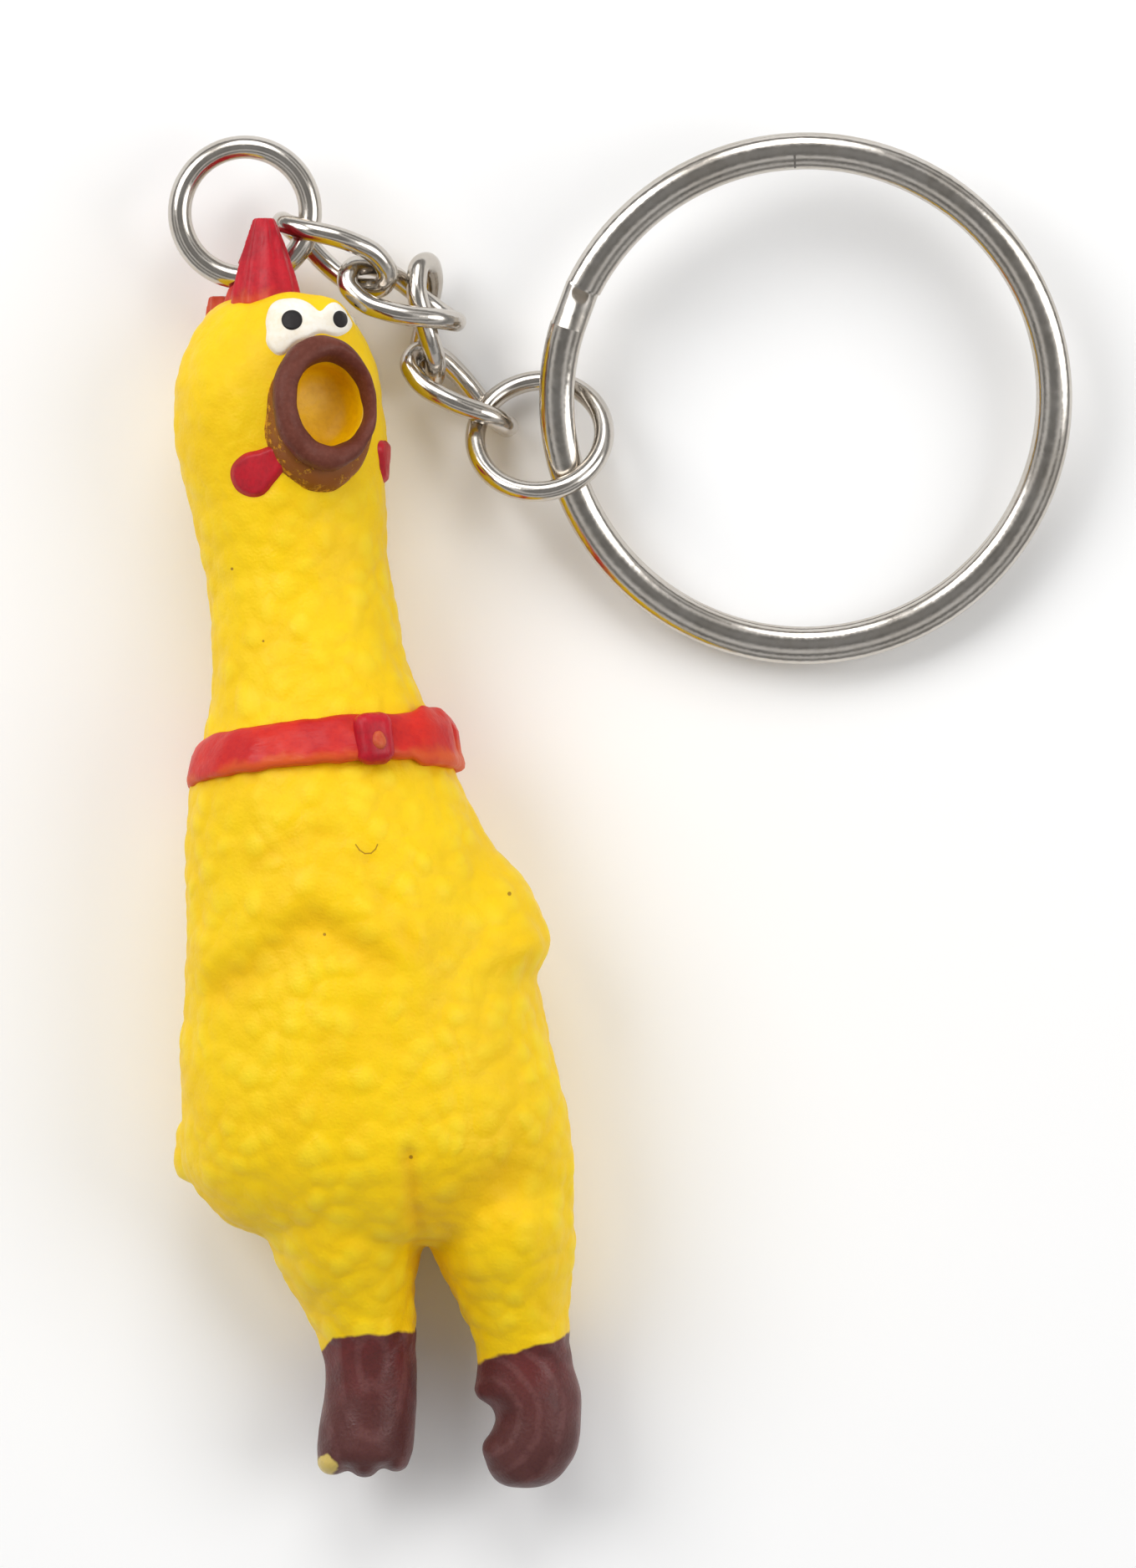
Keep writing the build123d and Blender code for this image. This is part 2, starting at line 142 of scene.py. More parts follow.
def makeFineGrain():
    # matt tooth of moulded vinyl and brushed paint, as a height for a Bump node
    group, given, result = startGroup(
        "fineGrain",
        [("Scale", "Float", 6000.0), ("Pores", "Float", 0.3), ("Stretch", "Vector", (1, 1, 1))],
        [("Height", "Float")])
    place = placeOn(group)
    pulled = addNode(group, "ShaderNodeVectorMath", operation="MULTIPLY")
    group.links.new(place, pulled.inputs[0])
    group.links.new(given.outputs["Stretch"], pulled.inputs[1])
    tooth = cloudAt(group, pulled.outputs[0], given.outputs["Scale"], 4.0)
    cells = addNode(group, "ShaderNodeTexVoronoi",
                    {"Vector": pulled.outputs[0], "Scale": given.outputs["Scale"]})
    pores = calc(group, "MULTIPLY", cells.outputs["Distance"], given.outputs["Pores"])
    group.links.new(calc(group, "ADD", tooth, pores), result.inputs["Height"])
    return group


def makeRoughSpread():
    # roughness that wanders between two values, as where fingers have polished it
    group, given, result = startGroup(
        "roughSpread",
        [("Low", "Float", 0.3), ("High", "Float", 0.6), ("Scale", "Float", 900.0)],
        [("Roughness", "Float")])
    cloud = cloudAt(group, placeOn(group), given.outputs["Scale"], 5.0)
    spread = softStep(group, cloud, 0.3, 0.7, given.outputs["Low"], given.outputs["High"])
    group.links.new(spread, result.inputs["Roughness"])
    return group


def makeDipLine():
    # 1 below a slightly wavy, sloping edge of foot paint, which falls faster beyond its corner
    group, given, result = startGroup(
        "dipLine",
        [("Level", "Float", 0.0), ("Slope", "Float", 0.0), ("Centre X", "Float", 0.0),
         ("Wobble", "Float", 0.0004), ("Corner X", "Float", -1.0), ("Fall", "Float", 0.0)],
        [("Mask", "Float")])
    place = placeOn(group)
    axes = axesOf(group, place)
    fromCentre = calc(group, "SUBTRACT", axes["X"], given.outputs["Centre X"])
    line = calc(group, "MULTIPLY_ADD", fromCentre, given.outputs["Slope"], given.outputs["Level"])
    pastCorner = calc(group, "SUBTRACT", given.outputs["Corner X"], axes["X"])
    beyond = calc(group, "MAXIMUM", pastCorner, 0.0)
    line = calc(group, "SUBTRACT", line, calc(group, "MULTIPLY", beyond, given.outputs["Fall"]))
    centred = calc(group, "SUBTRACT", cloudAt(group, place, 480.0, 3.0), 0.5)
    wavy = calc(group, "MULTIPLY_ADD", centred, given.outputs["Wobble"], line)
    under = calc(group, "SUBTRACT", wavy, axes["Y"])
    group.links.new(softStep(group, under, -0.00012, 0.00012), result.inputs["Mask"])
    return group


def makeSpot():
    # round or oval spot on the front, seen from above, with a ragged edge
    group, given, result = startGroup(
        "spot",
        [("Place", "Vector", (0, 0, 0)), ("Radius", "Float", 0.0003), ("Ragged", "Float", 0.0)],
        [("Mask", "Float")])
    place = placeOn(group)
    flat = addNode(group, "ShaderNodeVectorMath", operation="MULTIPLY")
    group.links.new(place, flat.inputs[0])
    flat.inputs[1].default_value = (1, 1, 0)
    away = addNode(group, "ShaderNodeVectorMath", operation="DISTANCE")
    group.links.new(flat.outputs[0], away.inputs[0])
    group.links.new(given.outputs["Place"], away.inputs[1])
    centred = calc(group, "SUBTRACT", cloudAt(group, place, 1500.0, 3.0), 0.5)
    ragged = calc(group, "MULTIPLY_ADD", centred, given.outputs["Ragged"], away.outputs["Value"])
    outer = calc(group, "MULTIPLY", given.outputs["Radius"], 1.15)
    inside = softStep(group, ragged, outer, calc(group, "MULTIPLY", given.outputs["Radius"], 0.85))
    front = softStep(group, axesOf(group, place)["Z"], 0.004, 0.005)
    group.links.new(calc(group, "MULTIPLY", inside, front), result.inputs["Mask"])
    return group


def makeHairline():
    # thin dark line from one point to another, seen from above
    group, given, result = startGroup(
        "hairline",
        [("Start", "Vector", (0, 0, 0)), ("End", "Vector", (0, 1, 0)), ("Width", "Float", 0.0001)],
        [("Mask", "Float")])

    def vector(operation, first, second):
        made = addNode(group, "ShaderNodeVectorMath", operation=operation)
        for socket, value in zip(made.inputs, (first, second)):
            if isinstance(value, bpy.types.NodeSocket):
                group.links.new(value, socket)
            else:
                socket.default_value = value
        return made

    place = placeOn(group)
    flat = vector("MULTIPLY", place, (1, 1, 0)).outputs[0]
    run = vector("SUBTRACT", given.outputs["End"], given.outputs["Start"]).outputs[0]
    reach = vector("SUBTRACT", flat, given.outputs["Start"]).outputs[0]
    share = calc(group, "DIVIDE", vector("DOT_PRODUCT", reach, run).outputs["Value"],
                 vector("DOT_PRODUCT", run, run).outputs["Value"], clamp=True)
    foot = addNode(group, "ShaderNodeVectorMath", operation="SCALE")
    group.links.new(run, foot.inputs[0])
    group.links.new(share, foot.inputs["Scale"])
    away = vector("DISTANCE", reach, foot.outputs[0]).outputs["Value"]
    front = softStep(group, axesOf(group, place)["Z"], 0.008, 0.009)
    line = softStep(group, away, given.outputs["Width"], 0.00001)
    group.links.new(calc(group, "MULTIPLY", line, front), result.inputs["Mask"])
    return group


toneDrift = makeToneDrift()
fineGrain = makeFineGrain()
roughSpread = makeRoughSpread()
dipLine = makeDipLine()
spot = makeSpot()
hairline = makeHairline()
print("shared effects ready")


def startMaterial(name, settings):
    material = bpy.data.materials.new(name)
    material.use_nodes = True
    tree = material.node_tree
    shader = tree.nodes["Principled BSDF"]
    for key, value in settings.items():
        shader.inputs[key].default_value = value
    return material, tree, shader


def useGroup(tree, group, inputs):
    made = tree.nodes.new("ShaderNodeGroup")
    made.node_tree = group
    for key, value in inputs.items():
        if isinstance(value, bpy.types.NodeSocket):
            tree.links.new(value, made.inputs[key])
        else:
            made.inputs[key].default_value = value
    return made.outputs[0]


def addBump(tree, shader, height, distance, strength=1.0):
    bump = addNode(tree, "ShaderNodeBump", {"Height": height, "Distance": distance, "Strength": strength})
    tree.links.new(bump.outputs[0], shader.inputs["Normal"])


vinylLook = {
    "yellow": rgb(252, 208, 0),
    # the next colour is a painted highlight for the tops of the goose bumps
    "bumpHighlight": rgb(254, 224, 48),
    # the next colour is painted shade for grooves and hollows
    "deep": rgb(236, 180, 0),
    "drift": rgb(246, 198, 0),
    "roughLow": 0.42,
    "roughHigh": 0.6,
    "settings": {"Subsurface Weight": 0.12, "Subsurface Scale": 0.0006, "Subsurface Radius": (1.0, 0.6, 0.1),
                 "Specular IOR Level": 0.26, "Sheen Weight": 0.02, "Sheen Roughness": 0.5},
    # small pits on the front, drawn as painted shade: x, y, radius
    "pits": [(-21.68, 13.43, 0.09), (-19.9, 9.4, 0.08), (-6.21, -4.66, 0.1), (-16.43, -6.87, 0.09),
             (-11.65, -19.2, 0.1)],
    "pitAndCrackShade": rgb(172, 126, 14),
    "pitRagged": 0.1,
    # a short crack in the moulding, drawn as a line of painted shade, as corner points
    "crack": [(-14.7, -1.9), (-14.5, -2.2), (-14.2, -2.4), (-13.85, -2.38), (-13.6, -2.15),
              (-13.5, -1.9)],
    "crackWidth": 0.06,
    "bumpHighlightShare": 0.5,       # how strong the painted highlight on the tallest bumps is
    "bumpDepth": 0.00004,
}
footPaint = {
    "colour": rgb(94, 57, 55),
    "light": rgb(128, 88, 86),
    "chipColour": rgb(205, 180, 100),
    "deep": rgb(80, 44, 42),
    "streakScale": 260.0,
    "streakShare": 0.34,
    "gloss": 0.12,          # how much smoother the paint is than bare vinyl
    "ridges": 0.7,          # height of the brush arcs beside the vinyl's own grain
    # edge of the dip on each foot, given to the dip line effect
    "right": {"Level": -29.3 * mm, "Slope": 0.06, "Centre X": -14.0 * mm, "Wobble": 0.8 * mm,
              "Corner X": -16.1 * mm, "Fall": 1.3},
    "left": {"Level": -30.2 * mm, "Slope": 0.31, "Centre X": -5.4 * mm, "Wobble": 0.9 * mm},
    "chip": ((-16.5, -36.75), 0.62),    # bare corner of the right foot: place and radius
    "chipRagged": 0.5,
    # middle of the brush arcs in mm, and how much they are drawn out lengthways
    "arcs": {"right": (-13.9, -30.6, 0.45), "left": (-7.6, -34.0, 1.0)},
    "red": rgb(116, 44, 44),            # tint at the top of the dip
    "redSpan": (-35.5, -30.0),
    "redShare": 0.55,
}


def makeVinyl(name, foot=None):
    # yellow goose-bumped vinyl; with a foot named, the brown paint that it was dipped in as well
    material, tree, shader = startMaterial(name, vinylLook["settings"])
    raised = addNode(tree, "ShaderNodeAttribute", attribute_name="gooseBump").outputs["Fac"]
    hollow = addNode(tree, "ShaderNodeAttribute", attribute_name="hollowShade").outputs["Fac"]
    body = useGroup(tree, toneDrift, {"Colour": vinylLook["yellow"], "Drift Colour": vinylLook["drift"],
                                      "Scale": 260.0, "Amount": 0.6, "Speckle": 0.25})
    # painted highlight: the taller a goose bump, the paler its top
    lit = softStep(tree, raised, 0.3, 1.0, 0.0, vinylLook["bumpHighlightShare"])
    bumpHighlit = mixColour(tree, lit, body, vinylLook["bumpHighlight"])
    # painted shade: grooves and hollows darkened towards the deep yellow
    colour = mixColour(tree, hollow, bumpHighlit, vinylLook["deep"])
    # painted shade in the small pits and along the crack
    for x, y, radius in vinylLook["pits"]:
        mask = useGroup(tree, spot, {"Place": (x * mm, y * mm, 0), "Radius": radius * mm,
                                    "Ragged": vinylLook["pitRagged"] * mm})
        colour = mixColour(tree, mask, colour, vinylLook["pitAndCrackShade"])
    for (x1, y1), (x2, y2) in zip(vinylLook["crack"], vinylLook["crack"][1:]):
        mask = useGroup(tree, hairline, {"Start": (x1 * mm, y1 * mm, 0), "End": (x2 * mm, y2 * mm, 0),
                                         "Width": vinylLook["crackWidth"] * mm})
        colour = mixColour(tree, mask, colour, vinylLook["pitAndCrackShade"])
    rough = useGroup(tree, roughSpread, {"Low": vinylLook["roughLow"], "High": vinylLook["roughHigh"],
                                         "Scale": 700.0})
    height = useGroup(tree, fineGrain, {"Scale": 5200.0, "Pores": 0.35})
    if foot:
        place = placeOn(tree)
        mask = useGroup(tree, dipLine, footPaint[foot])
        centreX, centreY, stretch = footPaint["arcs"][foot]
        turned = addNode(tree, "ShaderNodeMapping",
                         {"Vector": place, "Scale": (1, stretch, 1),
                          "Location": (-centreX * mm, -centreY * stretch * mm, 0)})
        wave = addNode(tree, "ShaderNodeTexWave",
                       {"Vector": turned.outputs[0], "Scale": footPaint["streakScale"], "Distortion": 5.0,
                        "Detail": 3.0, "Detail Scale": 0.8}, wave_type="RINGS", rings_direction="Z")
        streak = softStep(tree, wave.outputs["Fac"], 0.55, 1.0, 0.0, footPaint["streakShare"])
        low, high = footPaint["redSpan"]
        redder = softStep(tree, axesOf(tree, place)["Y"], low * mm, high * mm, 0.0, footPaint["redShare"])
        paint = mixColour(tree, redder, footPaint["colour"], footPaint["red"])
        paint = mixColour(tree, streak, paint, footPaint["light"])
        paint = useGroup(tree, toneDrift, {"Colour": paint, "Drift Colour": footPaint["deep"],
                                           "Scale": 600.0, "Amount": 0.5, "Speckle": 0.3})
        if foot == "right":
            (chipX, chipY), radius = footPaint["chip"]
            chip = useGroup(tree, spot, {"Place": (chipX * mm, chipY * mm, 0), "Radius": radius * mm,
                                         "Ragged": footPaint["chipRagged"] * mm})
            paint = mixColour(tree, chip, paint, footPaint["chipColour"])
        colour = mixColour(tree, mask, colour, paint)
        rough = calc(tree, "MULTIPLY_ADD", mask, -footPaint["gloss"], rough)
        ridge = calc(tree, "MULTIPLY", wave.outputs["Fac"], mask)
        height = calc(tree, "MULTIPLY_ADD", ridge, footPaint["ridges"], height)
    tree.links.new(colour, shader.inputs["Base Color"])
    tree.links.new(rough, shader.inputs["Roughness"])
    addBump(tree, shader, height, vinylLook["bumpDepth"], 0.7)
    return material


# Each paint: colour, the colour it drifts to, grain scale and pull, roughness from low to high, grain depth
def paintLook(colour, drift, grain, pull, low, high, depth):
    return {"colour": rgb(*colour), "drift": rgb(*drift), "grain": grain, "pull": pull, "low": low,
            "high": high, "depth": depth}


paintLooks = {
    "crimsonPaint": paintLook((196, 28, 44), (160, 22, 38), 3200.0, (1, 0.25, 1), 0.32, 0.5, 0.00005),
    "studPaint": paintLook((216, 120, 70), (196, 70, 44), 4000.0, (1, 1, 1), 0.4, 0.5, 0.00003),
    "eyeWhitePaint": paintLook((250, 246, 236), (240, 228, 204), 4200.0, (1, 1, 1), 0.35, 0.5, 0.00003),
    "pupilPaint": paintLook((16, 13, 14), (38, 32, 32), 4200.0, (1, 1, 1), 0.4, 0.55, 0.00002),
    "mouthPaint": paintLook((246, 194, 0), (224, 168, 0), 2600.0, (1, 1, 1), 0.35, 0.5, 0.00004),
    "squeakerPlastic": paintLook((236, 236, 230), (214, 214, 206), 3000.0, (1, 1, 1), 0.3, 0.45, 0.00002),
}


def makePaint(name):
    look = paintLooks[name]
    material, tree, shader = startMaterial(name, {"Specular IOR Level": 0.34})
    colour = useGroup(tree, toneDrift, {"Colour": look["colour"], "Drift Colour": look["drift"],
                                        "Scale": 450.0, "Amount": 0.7, "Speckle": 0.3})
    rough = useGroup(tree, roughSpread, {"Low": look["low"], "High": look["high"], "Scale": 900.0})
    height = useGroup(tree, fineGrain, {"Scale": look["grain"], "Pores": 0.2, "Stretch": look["pull"]})
    tree.links.new(colour, shader.inputs["Base Color"])
    tree.links.new(rough, shader.inputs["Roughness"])
    addBump(tree, shader, height, look["depth"], 0.8)
    return material


beakLook = {
    "lip": rgb(96, 48, 36),
    "lipLight": rgb(118, 66, 54),
    "brown": rgb(138, 78, 18),
    "gold": rgb(216, 150, 30),
    "cleanSide": rgb(240, 200, 28),
    "fadeSpan": (26.2, 23.5),       # the brown thins out from the lower to the upper of these heights
    "dabScale": 2300.0,
    "lipCover": 0.16,
    "chinCover": 0.06,
}


def makeLipPaint():
    material, tree, shader = startMaterial("lipPaint", {"Specular IOR Level": 0.28})
    colour = useGroup(tree, toneDrift, {"Colour": beakLook["lip"], "Drift Colour": beakLook["lipLight"],
                                        "Scale": 520.0, "Amount": 0.45, "Speckle": 0.35})
    tree.links.new(colour, shader.inputs["Base Color"])
    rough = useGroup(tree, roughSpread, {"Low": 0.42, "High": 0.62, "Scale": 800.0})
    tree.links.new(rough, shader.inputs["Roughness"])
    addBump(tree, shader, useGroup(tree, fineGrain, {"Scale": 3000.0, "Pores": 0.3}), 0.00005, 0.9)
    return material


def makeBeakSide():
    # brown dabbed over yellow: dense by the lip and below it, thin towards the brow
    material, tree, shader = startMaterial("beakSidePaint", {"Specular IOR Level": 0.4})
    place = placeOn(tree)
    cover = addNode(tree, "ShaderNodeAttribute", attribute_name="lipNear").outputs["Fac"]
    browY, chinY = beakLook["fadeSpan"]
    low = softStep(tree, axesOf(tree, place)["Y"], browY * mm, chinY * mm)
    dabs = addNode(tree, "ShaderNodeTexNoise",
                   {"Vector": place, "Scale": beakLook["dabScale"], "Detail": 5.0, "Roughness": 0.65})
    amount = calc(tree, "MULTIPLY_ADD", cover, beakLook["lipCover"], dabs.outputs["Fac"])
    amount = calc(tree, "MULTIPLY_ADD", low, beakLook["chinCover"], amount)
    mask = softStep(tree, amount, 0.5, 0.66)
    under = mixColour(tree, low, beakLook["cleanSide"], beakLook["gold"])
    colour = mixColour(tree, mask, under, beakLook["brown"])
    tree.links.new(colour, shader.inputs["Base Color"])
    rough = useGroup(tree, roughSpread, {"Low": 0.45, "High": 0.6, "Scale": 900.0})
    tree.links.new(rough, shader.inputs["Roughness"])
    addBump(tree, shader, mask, 0.00006, 0.8)
    return material


nickelLook = {
    "bright": rgb(206, 200, 192),
    "worn": rgb(176, 166, 152),
    "roughLow": 0.14,
    "roughHigh": 0.22,
}


def makeNickel():
    material, tree, shader = startMaterial("nickelPlate", {"Metallic": 1.0})
    colour = useGroup(tree, toneDrift, {"Colour": nickelLook["bright"], "Drift Colour": nickelLook["worn"],
                                        "Scale": 240.0, "Amount": 0.3, "Speckle": 0.15})
    tree.links.new(colour, shader.inputs["Base Color"])
    rough = useGroup(tree, roughSpread, {"Low": nickelLook["roughLow"], "High": nickelLook["roughHigh"],
                                         "Scale": 1200.0})
    tree.links.new(rough, shader.inputs["Roughness"])
    scratches = useGroup(tree, fineGrain, {"Scale": 1400.0, "Pores": 0.15, "Stretch": (1, 1, 2.5)})
    addBump(tree, shader, scratches, 0.00002, 0.4)
    return material


vinyl = makeVinyl("yellowVinyl")
vinylRight = makeVinyl("dippedVinylRight", "right")
vinylLeft = makeVinyl("dippedVinylLeft", "left")
paints = {name: makePaint(name) for name in paintLooks}
lipPaint = makeLipPaint()
beakSidePaint = makeBeakSide()
nickel = makeNickel()
print("materials ready")


# Mesh helpers
def addRing(bm, place, halfWidth, halfHeight, segments):
    # an ellipse in the place's own XY plane
    size = Matrix.Diagonal((halfWidth * mm, halfHeight * mm, 1, 1))
    made = bmesh.ops.create_circle(bm, segments=segments, radius=1, matrix=place @ size)
    return made["verts"]


def ringEdges(verts):
    # in the ring's own order, so that rings are bridged the same way in every run
    own = set(verts)
    around = dict.fromkeys(e for v in verts for e in v.link_edges)
    return [e for e in around if e.verts[0] in own and e.verts[1] in own]


def bridgeRings(bm, rings, closed=False, capEnds=True):
    edges = [ringEdges(ring) for ring in rings]
    pairs = list(zip(edges, edges[1:]))
    if closed:
        pairs.append((edges[-1], edges[0]))
    for one, other in pairs:
        bmesh.ops.bridge_loops(bm, edges=one + other)
    if capEnds and not closed:
        for ends in (edges[0], edges[-1]):
            bmesh.ops.contextual_create(bm, geom=ends)


def acrossLength(x, y, z):
    # ring plane square to the chicken's length
    return Matrix.Translation((x * mm, y * mm, z * mm)) @ Matrix.Rotation(math.radians(90), 4, "X")


def tubeAlong(bm, stations, segments=32):
    rings = [addRing(bm, acrossLength(x, y, z), halfWidth, halfDepth, segments)
             for y, x, halfWidth, z, halfDepth in stations]
    bridgeRings(bm, rings)


def toObject(name, bm, material, smooth=True, tidyNormals=True):
    if tidyNormals:
        bmesh.ops.remove_doubles(bm, verts=bm.verts, dist=0.0000005)
        bmesh.ops.recalc_face_normals(bm, faces=bm.faces)
    mesh = bpy.data.meshes.new(name)
    for face in bm.faces:
        face.smooth = smooth
    bm.to_mesh(mesh)
    bm.free()
    made = bpy.data.objects.new(name, mesh)
    bpy.context.scene.collection.objects.link(made)
    if material:
        mesh.materials.append(material)
    return made


def bake(piece):
    # the piece's modifiers become its mesh
    bpy.context.view_layer.update()
    shaped = bpy.data.meshes.new_from_object(piece.evaluated_get(bpy.context.evaluated_depsgraph_get()))
    piece.modifiers.clear()
    old = piece.data
    piece.data = shaped
    bpy.data.meshes.remove(old)
    for polygon in shaped.polygons:
        polygon.use_smooth = True


def cutWith(piece, cutter):
    change = piece.modifiers.new("cut", "BOOLEAN")
    change.operation = "DIFFERENCE"
    change.solver = "EXACT"
    change.object = cutter
    bake(piece)
    bpy.data.objects.remove(cutter)
    # the cut leaves slivers far narrower than a voxel, which close up here
    bm = bmesh.new()
    bm.from_mesh(piece.data)
    bmesh.ops.triangulate(bm, faces=[f for f in bm.faces if len(f.verts) > 4])
    bmesh.ops.remove_doubles(bm, verts=bm.verts, dist=0.00003)
    bmesh.ops.dissolve_degenerate(bm, edges=bm.edges, dist=0.00001)
    crowded = dict.fromkeys(f for e in bm.edges if len(e.link_faces) > 2 for f in e.link_faces)
    bmesh.ops.delete(bm, geom=list(crowded), context="FACES")
    bmesh.ops.holes_fill(bm, edges=[e for e in bm.edges if e.is_boundary], sides=0)
    bm.to_mesh(piece.data)
    bm.free()


def relax(bm, verts, passes):
    for _ in range(passes):
        bmesh.ops.smooth_vert(bm, verts=verts, factor=0.5, use_axis_x=True, use_axis_y=True, use_axis_z=True)


def remesh(piece, voxel, passes):
    change = piece.modifiers.new("remesh", "REMESH")
    change.mode = "VOXEL"
    change.voxel_size = voxel * mm
    bake(piece)
    bm = bmesh.new()
    bm.from_mesh(piece.data)
    relax(bm, bm.verts, passes)
    bm.to_mesh(piece.data)
    bm.free()


def ramp(value, low, high):
    t = min(max((value - low) / (high - low), 0.0), 1.0)
    return t * t * (3 - 2 * t)


def segmentDistance(x, y, first, second):
    ax, ay = first
    bx, by = second[0] - ax, second[1] - ay
    along = min(max(((x - ax) * bx + (y - ay) * by) / (bx * bx + by * by), 0.0), 1.0)
    return math.hypot(x - ax - bx * along, y - ay - by * along)


def strokeDistance(x, y, points):
    return min(segmentDistance(x, y, one, other) for one, other in zip(points, points[1:]))


# Skin: torso, neck, head, legs and feet as one moulding, later cut where the joints are.
# Rings are (y, centre x, half width, centre z, half depth)
skin = {
    "trunk": [
        (-24.2, -11.6, 8.9, 6.0, 4.6), (-22.6, -12.75, 10.2, 6.4, 5.6),
        (-20.6, -13.55, 11.0, 6.8, 6.5), (-18.0, -13.65, 11.0, 7.1, 7.0),
        (-13.7, -14.2, 10.45, 7.2, 7.1), (-8.0, -14.6, 9.6, 7.1, 7.05), (-3.0, -15.5, 8.85, 7.2, 6.85),
        (1.3, -16.65, 7.6, 7.15, 6.3), (4.5, -16.6, 6.35, 6.85, 5.7), (8.0, -17.4, 5.4, 6.5, 5.2),
        (12.5, -18.0, 4.95, 6.1, 4.8), (17.0, -18.7, 5.5, 5.95, 5.25), (21.5, -19.15, 6.1, 6.0, 5.8),
        (24.8, -19.25, 5.65, 6.1, 5.4), (27.2, -19.2, 4.55, 6.1, 4.35), (28.9, -19.1, 2.9, 6.1, 2.8),
    ],
    "legRight": [
        (-20.0, -15.9, 4.6, 6.4, 5.9), (-24.9, -15.45, 4.35, 5.7, 5.2), (-27.2, -15.0, 3.25, 5.2, 4.1),
        (-30.2, -14.0, 2.5, 4.8, 2.9), (-32.4, -13.95, 2.6, 4.8, 2.9), (-34.3, -14.15, 2.7, 4.8, 2.95),
        (-36.0, -14.3, 2.8, 4.8, 2.9), (-36.9, -14.4, 2.65, 4.8, 2.6),
    ],
    "legLeft": [
        (-20.0, -6.9, 4.5, 6.4, 5.9), (-24.9, -6.75, 4.1, 5.7, 5.2), (-27.2, -6.05, 3.05, 5.2, 4.1),
        (-30.2, -5.4, 2.55, 4.8, 2.9), (-31.6, -5.35, 2.85, 4.8, 2.9), (-32.7, -5.15, 3.05, 4.8, 2.85),
        (-33.4, -4.7, 2.55, 4.8, 2.8), (-34.2, -4.5, 2.35, 4.8, 2.8), (-35.3, -4.8, 2.65, 4.8, 2.75),
        (-36.4, -5.1, 2.6, 4.8, 2.5), (-37.4, -5.3, 2.0, 4.8, 2.1), (-38.1, -5.4, 1.2, 4.8, 1.5),
    ],
    "tail": ((-21.8, -17.2, 4.9), (-24.75, -21.0, 4.6), 3.2, 0.8),     # root, tip and their radii
    "toeShape": (0.9, 0.8, 1.6),
    # toes and the spur, each as x, y, z, radius
    "toes": [(-16.15, -36.6, 5.3, 1.0), (-14.35, -36.75, 5.6, 1.0), (-12.6, -36.5, 5.3, 0.95),
             (-7.35, -32.5, 5.0, 1.0), (-6.75, -35.9, 4.9, 1.15)],
    "voxel": 0.2,
    "quickVoxel": 0.32,
    "smoothing": 7,
    "hipSmoothing": 32,     # further passes where the legs leave the trunk
    "hipBand": (-28.5, -20.5),
    # where the moulding is cut into trunk, legs and feet
    "cutY": -24.6,
    "ankleY": -30.2,
    "crotchX": -11.0,
}
gooseBumps = {
    "pitch": 1.3,          # average distance between bumps
    "height": 0.2,
    "reach": 0.82,          # how far a bump spreads, as a share of the pitch
    "wander": 0.14,         # slow unevenness of the hand-made pattern
    # places where the drift of the bump pattern is sampled
    "swirlFrom": [(9.3, -1.5, -7.9), (0.0, 0.0, 0.0), (6.3, 11.2, -5.7)],
    "calm": [               # places without bumps: x, y, radius, on the front only
        (-17.2, 26.9, 3.4), (-16.6, 22.4, 4.4), (-20.6, 18.8, 1.6),
    ],
}
# Soft ridges and grooves on the front: points, width, height, and how much painted shade darkens a hollow
strokes = [
    ([(-22.9, -8.3), (-21.0, -7.2), (-18.9, -5.6), (-17.0, -4.6), (-15.3, -5.6), (-13.3, -7.0),
      (-11.6, -7.8)], 1.5, 0.32, 0.0),
    ([(-22.2, -10.0), (-20.7, -9.0), (-18.6, -7.3), (-17.0, -6.2), (-15.3, -7.2), (-13.2, -8.4)],
     1.0, -0.3, 0.5),
    ([(-20.4, -3.2), (-18.9, -2.0), (-17.2, -1.3), (-15.6, -1.2)], 0.5, -0.12, 0.3),
    ([(-14.1, -2.6), (-13.6, -4.6), (-12.6, -6.2), (-11.2, -8.0)], 0.55, -0.16, 0.35),
    ([(-11.75, -19.0), (-11.55, -21.6), (-11.1, -25.4)], 0.45, -0.34, 0.6),
    ([(-13.1, -18.6), (-12.9, -21.6), (-12.7, -24.0)], 1.2, 0.22, 0.0),
    ([(-9.9, -22.8), (-7.8, -21.6), (-6.4, -20.6)], 1.8, -0.5, 0.5),
]
# Raised mounds: x, y, radius, height
mounds = [(-18.45, 27.4, 2.0, 0.5), (-15.8, 27.5, 1.6, 0.5), (-18.4, 28.9, 1.3, 0.4),
          (-15.9, 28.9, 1.2, 0.45), (-16.9, 19.2, 2.2, 0.25), (-20.8, 0.4, 1.3, 0.2)]
# The left wing stands out between x front and side, grows from y top to full, and drops away below bottom
leftWing = {"front": -8.5, "side": -5.2, "top": -0.3, "full": -4.2, "bottom": -7.6, "drop": 2.0,
            "height": 1.3}


